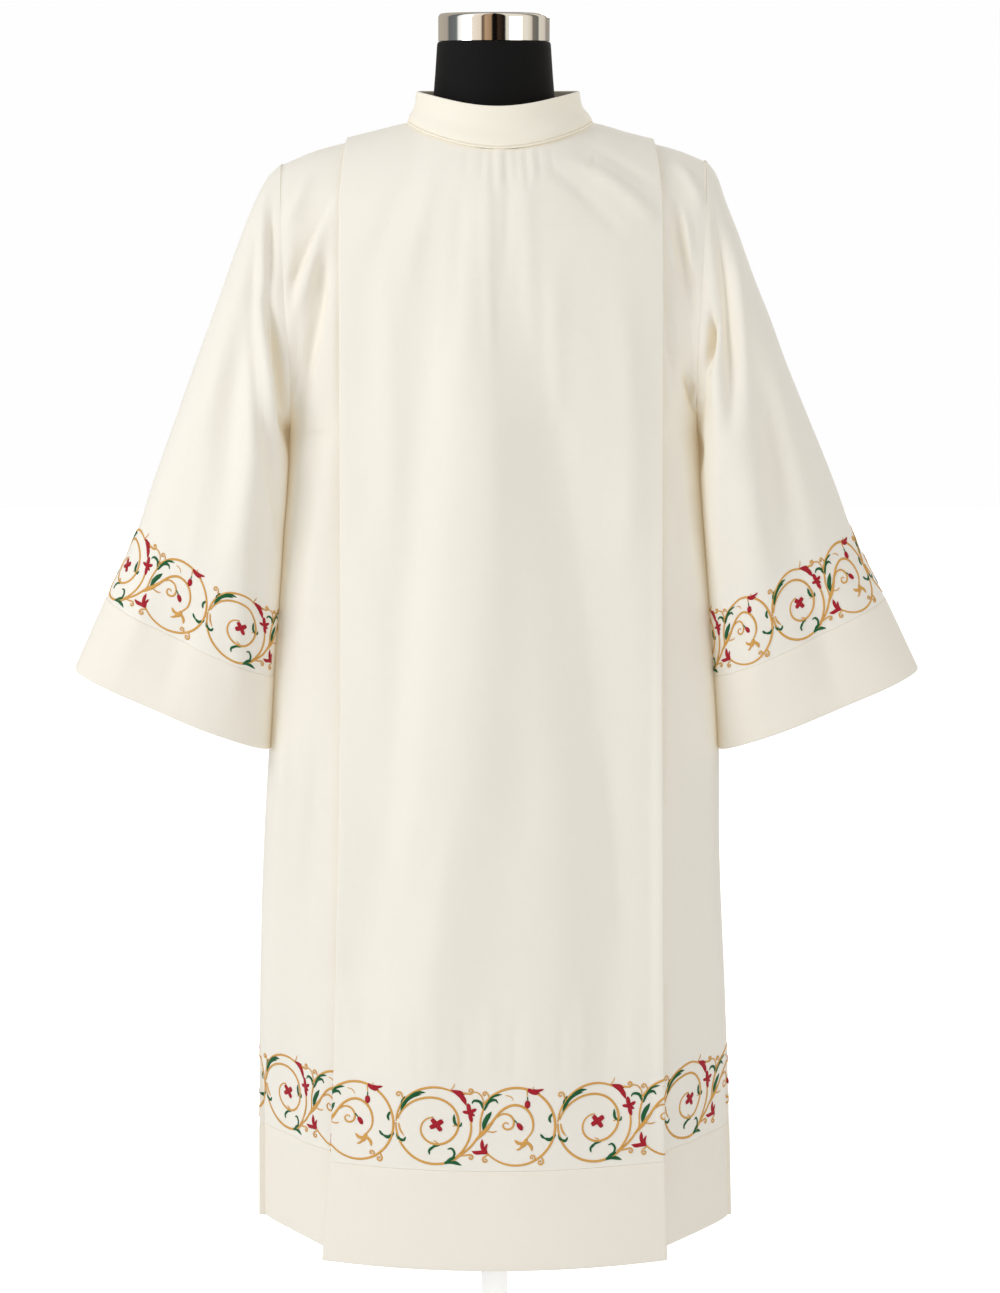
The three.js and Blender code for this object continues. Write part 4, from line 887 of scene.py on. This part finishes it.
def vine():
    strands = []

    def add(spine, width, thread, start=.5, end=.5, height=.75, belly=None):
        strands.append((np.asarray(spine, float), width, start, end, thread, height, belly))

    spiral = pchip([0, 60, 130, 180, 225, 270, 315, 360, 400, 430],
                   [39.5, 30.5, 25, 22, 20, 19, 17.5, 14, 10.5, 8.5], np.linspace(0, 425, 56))
    ang = np.radians(172 - np.linspace(0, 425, 56))
    hub = np.array(A) + (1.5, 0)
    add(np.stack([hub[0] + spiral * np.cos(ang), hub[1] + spiral * np.sin(ang)], -1), 3.0, 0, .8, .6)
    add(ring_arc(A, R, R, 176, 62), 3.0, 0, .6, .7)
    add(np.concatenate([ring_arc(A, R, R, 178, 303), through((69, 18.5), (77, 25.5), (84, 35))]), 3.1, 0, .7, .9)
    add(np.concatenate([ring_arc((A[0] - 1, A[1]), R - 1, R - 2, 306, 376)]), 2.8, 0, .5, .6)
    add(np.concatenate([through((79, 27), (85.5, 38), (86.5, 52), (89.5, 64)), ring_arc(B, R, R, 148, -139)]),
        3.1, 0, .5, .7)
    add(through((82, 32), (92, 41), (100, 53), (109, 63), (120.5, 67.5), (132, 63.5), (138.5, 53), (138.5, 41.5),
                (132.5, 32.5)), 3.2, 0, .9, .6)
    add(through((84, 35.5), (93, 44), (101, 53.5)), 4.4, 0, .4, .3, .7)
    add(through((101, 54), (108.5, 58.5), (116, 57), (120, 50.5), (117.5, 44), (111.5, 43), (108.8, 47), (112, 50),
                (114.5, 48)), 2.6, 0, .6, .5)
    # small curls
    add(curl(9, 68, 100, 3.4, 1, 9), 2.2, 0, .7, .6)
    add(curl(61, 81, -8, 3.2, 1, 15), 2.6, 0, .7, .6)
    add(through((76, 80), (83, 80.5), (88, 76), (89.5, 69)), 1.7, 0, .5, .4)
    add(curl(67, 15.5, 10, 3.0, -1, 9), 2.2, 0, .7, .6)
    add(curl(94, 17, -150, 3.2, 1, 5), 2.2, 0, .7, .6)
    add(curl(140, 10, 70, 3.0, 1, 3), 2.0, 0, .7, .6)
    add(curl(147, 15, -62, 3.4, -1, 5), 2.4, 0, .7, .6)
    add(curl(95, 76, 112, 2.8, 1, 4), 2.0, 0, .7, .6)
    add(through((93, 41), (99, 40), (103, 41.5)), 1.7, 0, .6, .2)
    add(through((4, 47), (5.5, 40), (9.5, 34)), 2.4, 0, .6, .2)
    add(through((58.5, 46), (62, 46.5), (64.5, 48)), 1.5, 0, .3, .3)
    add(through((44, 27.5), (42, 29.5), (39, 30.5)), 1.5, 0, .3, .2)
    add(through((111, 77.5), (117, 76), (119.5, 72)), 1.2, 0, .4, .3)
    add(through((56, 82.5), (59.5, 86), (61, 90)), 1.2, 0, .4, .3)
    add(through((138, 81.5), (139.5, 86)), 1.2, 0, .4, .3)
    # gold flower at the end of the inner branch
    add(through((132.5, 33), (130.5, 28), (127, 24.5)), 6.0, 0, .5, .5)
    add(through((132, 30), (137, 25.5), (138, 20.5)), 4.2, 0, .8, .2)
    add(through((130, 28.5), (124.5, 28.5), (120.5, 32)), 4.0, 0, .8, .2)
    add(through((129.5, 26.5), (125, 22.5), (122, 22)), 2.8, 0, .8, .2)
    # leaves: long ones with a full middle
    leaf = dict(start=.15, end=.12, height=.95)
    add(through((6, 58), (10.5, 69), (18, 75.5), (27, 77.5)), 5.2, 2, **leaf)
    add(through((12, 70), (20, 78.5), (31.5, 80)), 4.2, 2, **leaf)
    add(through((7, 61), (7.5, 69.5), (11, 75)), 2.8, 2, .4, .2)
    add(through((60, 58), (60.5, 50), (64, 45.5)), 3.6, 2, **leaf)
    add(through((62.5, 47), (66.5, 46), (67.5, 50)), 2.4, 2, .5, .3)
    add(through((46, 26), (39.5, 24.5), (36, 20)), 3.0, 2, .3, .2)
    add(through((37.5, 24), (34.8, 20), (35.5, 16)), 2.8, 2, .5, .3)
    add(through((48, 6.5), (54, 9), (61, 8.5), (67.5, 6)), 4.6, 2, **leaf)
    add(through((52, 8), (56.5, 11.5), (61.5, 14)), 5.0, 2, .3, .4, .95)
    add(through((58, 12), (60.5, 18), (57.5, 23), (53.5, 22)), 3.0, 2, .6, .4)
    add(through((90, 62), (86.5, 70.5), (80, 72), (78, 69)), 3.6, 2, .5, .3)
    add(through((90.5, 62.5), (94.5, 70.5), (101, 73), (104, 69.5)), 3.6, 2, .5, .3)
    add(through((92, 68), (99, 76.5), (108, 78.5)), 3.4, 2, **leaf)
    add(through((89, 42), (91.5, 51.5), (97.5, 61)), 6.0, 2, **leaf)
    add(through((158.5, 58), (155.5, 53), (157, 48.5)), 3.4, 2, .4, .3)
    add(through((162, 36.5), (156.5, 31.5), (150.5, 33)), 4.4, 2, .3, .4)
    add(through((151, 33), (148.5, 34.5), (146.5, 37.5)), 3.2, 2, .6, .3)
    add(through((1.5, 37.5), (4, 31), (9, 29.5), (11, 33)), 3.8, 2, .3, .4)
    add(through((118.5, 53.5), (121.5, 51), (124, 48)), 1.6, 2, .4, .5)
    add(through((133.5, 76), (133.5, 71.5)), 1.5, 2, .4, .5)
    add(through((133, 84), (133.4, 76)), 1.5, 0, .4, .5)
    # red: leaves, tulip, buds, cross flower
    red = dict(start=.2, end=.1, height=1.0)
    add(through((57, 82.5), (63.5, 80), (69, 74.5), (72.5, 67)), 6.0, 1, **red)
    add(through((59, 81), (65.5, 81), (71, 78)), 3.6, 1, **red)
    add(through((132.5, 84), (138.5, 80.5), (146, 78.5)), 5.8, 1, **red)
    add(through((137, 83), (143.5, 81.5), (150, 83)), 3.6, 1, **red)
    add(through((93.5, 18.5), (88, 19.5), (82.5, 19), (77.5, 20.5)), 5.0, 1, .4, .05, 1.0)
    add(through((92.5, 18), (88.5, 24), (88, 33)), 4.6, 1, .5, .05, 1.0)
    add(through((93, 18), (91.5, 23.5), (93.5, 28.5)), 3.2, 1, .5, .1, .9)
    for dx, dy, w in ((-1.5, 9.8, 5.4), (6.8, 4.2, 4.4), (-7, 1.2, 4.2), (2.2, -9.6, 5.0), (5.2, -2.8, 3.6)):
        cx, cy = 75.6, 59.5
        add(through((cx, cy), (cx + dx * .55, cy + dy * .55), (cx + dx, cy + dy)), w, 1, .7, .3, 1.0)
    for dx, dy, w in ((-4.8, 5.6, 5.8), (6.2, 4.2, 6.4), (4.6, -6.2, 5.8), (-6.4, -3.4, 6.0)):
        cx, cy = 42.5, 47
        add(through((cx, cy), (cx + dx * .6, cy + dy * .6), (cx + dx, cy + dy)), w, 1, .8, .75, 1.1)
    add(through((41, 47), (44, 47)), 4, 1, .7, .7, 1.25)
    add(through((133.5, 71.8), (133.5, 68.5), (133.5, 64)), 6.8, 1, .45, .4, 1.3)
    add(through((123.3, 48.6), (126, 45.5), (128, 42)), 6.0, 1, .5, .45, 1.3)
    return strands


def embroider(name, region, phase, direction, scale=(1., 1.), lift=0.):
    """Lays the scroll on the outer side of a cloth. region is (grid, u, v, sign, thickness);
    direction is -1 where u grows from right to left as seen from outside. scale is the
    size of the scroll, across and up, and lift how far it is moved up from the seam."""
    grid, u, v, sign, thick = region[:5]
    keep = (v[:, 0] >= -.5) & (v[:, 0] <= 104)
    order = np.argsort(v[keep, 0])
    grid, u, v = grid[keep][order], u[keep][order] * direction, v[keep][order][:, 0]
    n = (region[5] if len(region) > 5 else normals(region[0], False))[keep][order] * sign
    outer = grid + n * thick / 2
    if direction < 0:
        outer, n, u = outer[:, ::-1], n[:, ::-1], u[:, ::-1]
    low, high = u[:, 0].max(), u[:, -1].min()
    us = np.arange(low, high, .5)
    pos = np.array([[np.interp(us, u[i], outer[i, :, k]) for k in range(3)] for i in range(len(v))]).transpose(0, 2, 1)
    nor = np.array([[np.interp(us, u[i], n[i, :, k]) for k in range(3)] for i in range(len(v))]).transpose(0, 2, 1)
    nor = unit(nor)

    def on_cloth(uv, height):
        a = np.clip((uv[:, 0] - low) / .5, 0, len(us) - 1.001)
        r = np.clip(np.interp(uv[:, 1], v, np.arange(len(v))), 0, len(v) - 1.001)
        i, j = r.astype(int), a.astype(int)
        fr, fa = (r - i)[:, None], (a - j)[:, None]

        def blend(g):
            return (g[i, j] * (1 - fr) * (1 - fa) + g[i + 1, j] * fr * (1 - fa)
                    + g[i, j + 1] * (1 - fr) * fa + g[i + 1, j + 1] * fr * fa)
        return blend(pos) + unit(blend(nor)) * height[:, None]

    verts, faces, mats, sts = [], [], [], []
    count = 0
    cross = np.array([(-1, -.30), (-.66, .72), (0, 1), (.66, .72), (1, -.30)])
    repeat = REPEAT * scale[0]
    first = math.floor((low - phase) / repeat) - 1
    for cell in range(first, first + int((high - low) / repeat) + 4):
        for k, (spine, width, start, end, thread, height, belly) in enumerate(vine()):
            p, width = spine * scale + (phase + cell * repeat, lift), width * scale[1] * .94
            on = (p[:, 0] > low + width / 2 + .3) & (p[:, 0] < high - width / 2 - .3)
            if on.sum() < 2:
                continue
            if not on.all():
                edges = np.flatnonzero(np.diff(np.concatenate([[0], on.astype(int), [0]])))
                runs = sorted(zip(edges[::2], edges[1::2]), key=lambda r: r[0] - r[1])
                p = p[runs[0][0]:runs[0][1]]
                if len(p) < 2:
                    continue
            step = np.linalg.norm(np.diff(p, axis=0), axis=1)
            dist = np.concatenate([[0], np.cumsum(step)])
            if dist[-1] < .8:
                continue
            m = max(4, int(dist[-1] / 2.0) + 1)
            f = np.linspace(0, 1, m + 1)
            p = np.stack([np.interp(f * dist[-1], dist, p[:, q]) for q in range(2)], -1)
            tangent = unit(np.gradient(p, axis=0))
            side_ = np.stack([-tangent[:, 1], tangent[:, 0]], -1)
            profile = np.minimum(1, np.minimum(start + (1 - start) * np.sin(np.minimum(f / .35, 1) * math.pi / 2),
                                               end + (1 - end) * np.sin(np.minimum((1 - f) / .35, 1) * math.pi / 2)))
            half = width / 2 * profile
            ring = []
            for c, h in cross:
                q = p + side_ * (half * c)[:, None]
                tall = np.where(h > 0, h * height * (.45 + .55 * profile), h)
                ring.append(on_cloth(q, tall))
                sts.append(np.stack([f * dist[-1] * MM, half * c * MM, np.full(m + 1, k * .013)], -1))
            verts.extend(ring)
            idx = count + np.arange(5 * (m + 1)).reshape(5, m + 1)
            for a in range(5):
                b = (a + 1) % 5
                faces += np.stack([idx[a, :-1], idx[a, 1:], idx[b, 1:], idx[b, :-1]], -1).tolist()
            faces.append(idx[:, 0].tolist())
            faces.append(idx[::-1, -1].tolist())
            mats += [thread] * (5 * m + 2)
            count += 5 * (m + 1)
    verts = np.concatenate(verts)
    ob = mesh_object(name, verts, faces, [GOLD, RED, GREEN], mats, {"st": np.concatenate(sts)}, sharp=0)
    bm_check(ob)
    return ob


def bm_check(ob):
    """Turns every closed strand's faces outward."""
    import bmesh
    bm = bmesh.new()
    bm.from_mesh(ob.data)
    bmesh.ops.recalc_face_normals(bm, faces=bm.faces)
    bm.to_mesh(ob.data)
    bm.free()


for name, direction, phase in (("front", 1, -106.), ("back", -1, -74.)):
    grid, u, v = grids[name]
    embroider("embroidery_" + name, (grid, u, v, 1 if name == "front" else -1, CLOTH),
                                 phase, direction)
for name, direction, phase in (("left", 1, 101.1), ("right", -1, -38.4)):
    grid, u, v = grids["sleeve_" + name]
    n = normals(grid[:, :-1], True)
    n = np.concatenate([n, n[:, :1]], 1)
    embroider("embroidery_sleeve_" + name, (grid, u, v, -1 if name == "left" else 1, CLOTH, n),
                                 phase, direction, (.878, .9) if name == "left" else (.74, .89), -1.5)


# ---------------------------------------------------------------- the form
def turned(name, profile, n, mat, node):
    """A turned piece on the Z axis from its profile of radius and height, axis to axis."""
    prof = np.array(profile, float)
    a = 2 * math.pi * np.arange(n) / n
    ring = prof[1:-1]
    verts = np.stack([ring[:, :1] * np.cos(a), ring[:, :1] * np.sin(a), np.broadcast_to(ring[:, 1:], (len(ring), n))], -1)
    verts = np.concatenate([verts.reshape(-1, 3), [[0, 0, prof[0, 1]], [0, 0, prof[-1, 1]]]])
    idx = np.arange(len(ring) * n).reshape(len(ring), n)
    nxt = np.roll(idx, -1, 1)
    faces = np.stack([idx[:-1], nxt[:-1], nxt[1:], idx[1:]], -1).reshape(-1, 4).tolist()
    low, top = len(verts) - 2, len(verts) - 1
    faces += [[low, int(nxt[0, j]), int(idx[0, j])] for j in range(n)]
    faces += [[top, int(idx[-1, j]), int(nxt[-1, j])] for j in range(n)]
    ob = mesh_object(name, verts, faces, [mat], sharp=35)
    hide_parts(node)
    return ob


def bevel(x0, z0, x1, z1, r, n=5):
    """Points that round a corner of a turned profile, from (x0, z0) to (x1, z1)."""
    f = np.arange(n + 1) / n * math.pi / 2
    return [(x0 + (x1 - x0) * (1 - math.cos(t)), z0 + (z1 - z0) * math.sin(t)) for t in f] if r else [
        (x0 + (x1 - x0) * math.sin(t), z0 + (z1 - z0) * (1 - math.cos(t))) for t in f]


turned("neck_cover", [(0, 1444.4), (56, 1444.4), (62.2, 1444.8)] + [
    (float(r), float(z)) for r, z in zip(pchip([1445, 1475, 1500, 1529], [62.5, 60.8, 58.8, 56.8], np.linspace(1445, 1529, 24)),
                                         np.linspace(1445, 1529, 24))]
    + [(56.4, 1530.6), (55.9, 1531.5), (54.8, 1532), (50, 1532), (0, 1532)], 120, JERSEY, "form_neck")
turned("cap_chrome", [(0, 1532.4), (50, 1532.4), (55.1, 1532.4), (55.5, 1532.8), (55.5, 1540), (55.5, 1548), (55.5, 1555.6)]
       + bevel(55.5, 1555.6, 51.2, 1559.9, 1, 8) + [(50.6, 1560), (40, 1560), (20, 1560), (0, 1560)], 128, CHROME, "form_cap")
turned("pole_painted", [(0, 10.4), (13.6, 10.4), (14, 10.8), (14, 200), (14, 400), (14, 600), (14, 759.2), (13.6, 759.6), (0, 759.6)],
       64, STAND, "form_pole")
turned("base_painted", [(0, 0), (100, 0), (167.6, 0), (169, .5), (170, 1.8), (170, 5), (169.6, 7.2), (168.4, 8.9), (166, 9.9),
                        (163, 10), (100, 10), (40, 10), (0, 10)], 160, STAND, "form_base")

z = np.concatenate([np.linspace(760, 775, 8), np.linspace(785, 1350, 48), np.linspace(1358, 1444, 22)])
a = 2 * math.pi * np.arange(120) / 120
c, s = np.cos(a), np.sin(a)
e = 2 / 2.3
ring = np.stack([np.sign(c) * np.abs(c) ** e, np.sign(s) * np.abs(s) ** e], -1)
w, d, y = (at(TORSO, k, z) for k in ("w", "d", "y"))
rows = [np.stack([w[i] * ring[:, 0], y[i] + d[i] * ring[:, 1], np.full(120, z[i])], -1) for i in range(len(z))]
rows = ([rows[0] * (k, k, 1) + (0, 8 * (1 - k), 0) for k in (.2, .5, .8, .97)] + rows
        + [rows[-1] * (k, k, 1) for k in (.95, .6, .25)])
rows = np.array(rows)
verts = np.concatenate([rows.reshape(-1, 3), [[0, 8, 760], [0, 0, 1444]]])
idx = np.arange(rows.shape[0] * 120).reshape(-1, 120)
nxt = np.roll(idx, -1, 1)
faces = np.stack([idx[:-1], nxt[:-1], nxt[1:], idx[1:]], -1).reshape(-1, 4).tolist()
low, top = len(verts) - 2, len(verts) - 1
faces += [[low, int(nxt[0, j]), int(idx[0, j])] for j in range(120)]
faces += [[top, int(idx[-1, j]), int(nxt[-1, j])] for j in range(120)]
torso = mesh_object("torso_cover", verts, faces, [JERSEY], sharp=55)
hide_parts("form_torso")

# ---------------------------------------------------------------- floor and light
me = bpy.data.meshes.new("floor")
me.from_pydata([(-9, -9, -.0005), (9, -9, -.0005), (9, 9, -.0005), (-9, 9, -.0005)], [], [(0, 1, 2, 3)])
floor = bpy.data.objects.new("floor", me)
scene.collection.objects.link(floor)
m, nodes, links, shader = material("pale_floor")
shader.inputs["Base Color"].default_value = (.84, .84, .835, 1)
shader.inputs["Roughness"].default_value = .8
path = nodes.new("ShaderNodeLightPath")
shader.inputs["Emission Color"].default_value = (1, 1, 1, 1)
links.new(math_node(nodes, links, "MULTIPLY", path.outputs["Is Camera Ray"], .75), shader.inputs["Emission Strength"])
me.materials.append(m)

# The studio: white behind, soft and even for the cloth, and with the dark and bright
# uprights of a room where something polished mirrors it.
world = bpy.data.worlds.new("studio")
world.use_nodes = True
wn, wl = world.node_tree.nodes, world.node_tree.links
wn.clear()
wout = wn.new("ShaderNodeOutputWorld")
seen, lit, mirrored = (wn.new("ShaderNodeBackground") for _ in range(3))
seen.inputs[0].default_value = (.99, .99, .99, 1)
lit.inputs[0].default_value = (1, .995, .985, 1)
lit.inputs[1].default_value = .65
coords = wn.new("ShaderNodeTexCoord")
split = wn.new("ShaderNodeSeparateXYZ")
wl.new(coords.outputs["Generated"], split.inputs[0])
turn_ = math_node(wn, wl, "ARCTAN2", split.outputs[0], math_node(wn, wl, "MULTIPLY", split.outputs[1], -1))
ramp = wn.new("ShaderNodeValToRGB")
wl.new(math_node(wn, wl, "ADD", math_node(wn, wl, "MULTIPLY", turn_, .5 / math.pi), .5), ramp.inputs[0])
stops = [(0, (150, 148, 142)), (.10, (175, 166, 152)), (.185, (168, 160, 148)), (.205, (98, 102, 102)),
         (.268, (112, 116, 116)), (.284, (253, 253, 252)), (.35, (252, 251, 249)), (.375, (238, 228, 214)),
         (.425, (226, 212, 194)), (.433, (92, 78, 66)), (.443, (120, 100, 82)), (.450, (182, 152, 122)),
         (.484, (158, 128, 100)), (.491, (16, 13, 11)), (.515, (12, 10, 9)), (.525, (60, 44, 34)),
         (.55, (34, 27, 22)), (.563, (30, 25, 22)), (.571, (226, 221, 207)),
 (.70, (230, 224, 210)),
         (.735, (206, 196, 182)), (.745, (120, 114, 106)), (.79, (104, 102, 98)), (.80, (214, 208, 196)),
         (.86, (206, 198, 186)), (.88, (150, 142, 132)), (1, (146, 142, 136))]
while len(ramp.color_ramp.elements) < len(stops):
    ramp.color_ramp.elements.new(.5)
for element, (place_, colour) in zip(ramp.color_ramp.elements, stops):
    element.position = place_
    element.color = rgb(*colour)
wl.new(ramp.outputs[0], mirrored.inputs[0])
mirrored.inputs[1].default_value = 1.25
path = wn.new("ShaderNodeLightPath")
inner_mix, outer_mix = wn.new("ShaderNodeMixShader"), wn.new("ShaderNodeMixShader")
wl.new(path.outputs["Is Glossy Ray"], inner_mix.inputs[0])
wl.new(lit.outputs[0], inner_mix.inputs[1])
wl.new(mirrored.outputs[0], inner_mix.inputs[2])
wl.new(path.outputs["Is Camera Ray"], outer_mix.inputs[0])
wl.new(inner_mix.outputs[0], outer_mix.inputs[1])
wl.new(seen.outputs[0], outer_mix.inputs[2])
wl.new(outer_mix.outputs[0], wout.inputs[0])
scene.world = world


def area_light(name, location, target, size, power, colour=(1, 1, 1)):
    data = bpy.data.lights.new(name, "AREA")
    data.shape, data.size, data.size_y = "RECTANGLE", size[0], size[1]
    data.energy, data.color = power, colour
    ob = bpy.data.objects.new(name, data)
    from mathutils import Vector
    ob.location = location
    ob.rotation_euler = (Vector(target) - Vector(location)).to_track_quat("-Z", "Y").to_euler()
    scene.collection.objects.link(ob)
    return ob


area_light("key", (-2.9, -1.8, 2.3), (0, 0, 1.0), (1.4, 2.0), 54, (.985, .995, 1))
area_light("fill", (2.9, -2.8, 1.5), (0, 0, .9), (2.0, 2.2), 24, (1, .975, .93))
area_light("back", (1.2, 2.8, 2.4), (0, 0, 1.0), (1.8, 1.6), 18, (1, 1, 1))

scene.view_settings.view_transform = "Standard"
scene.view_settings.look = "None"
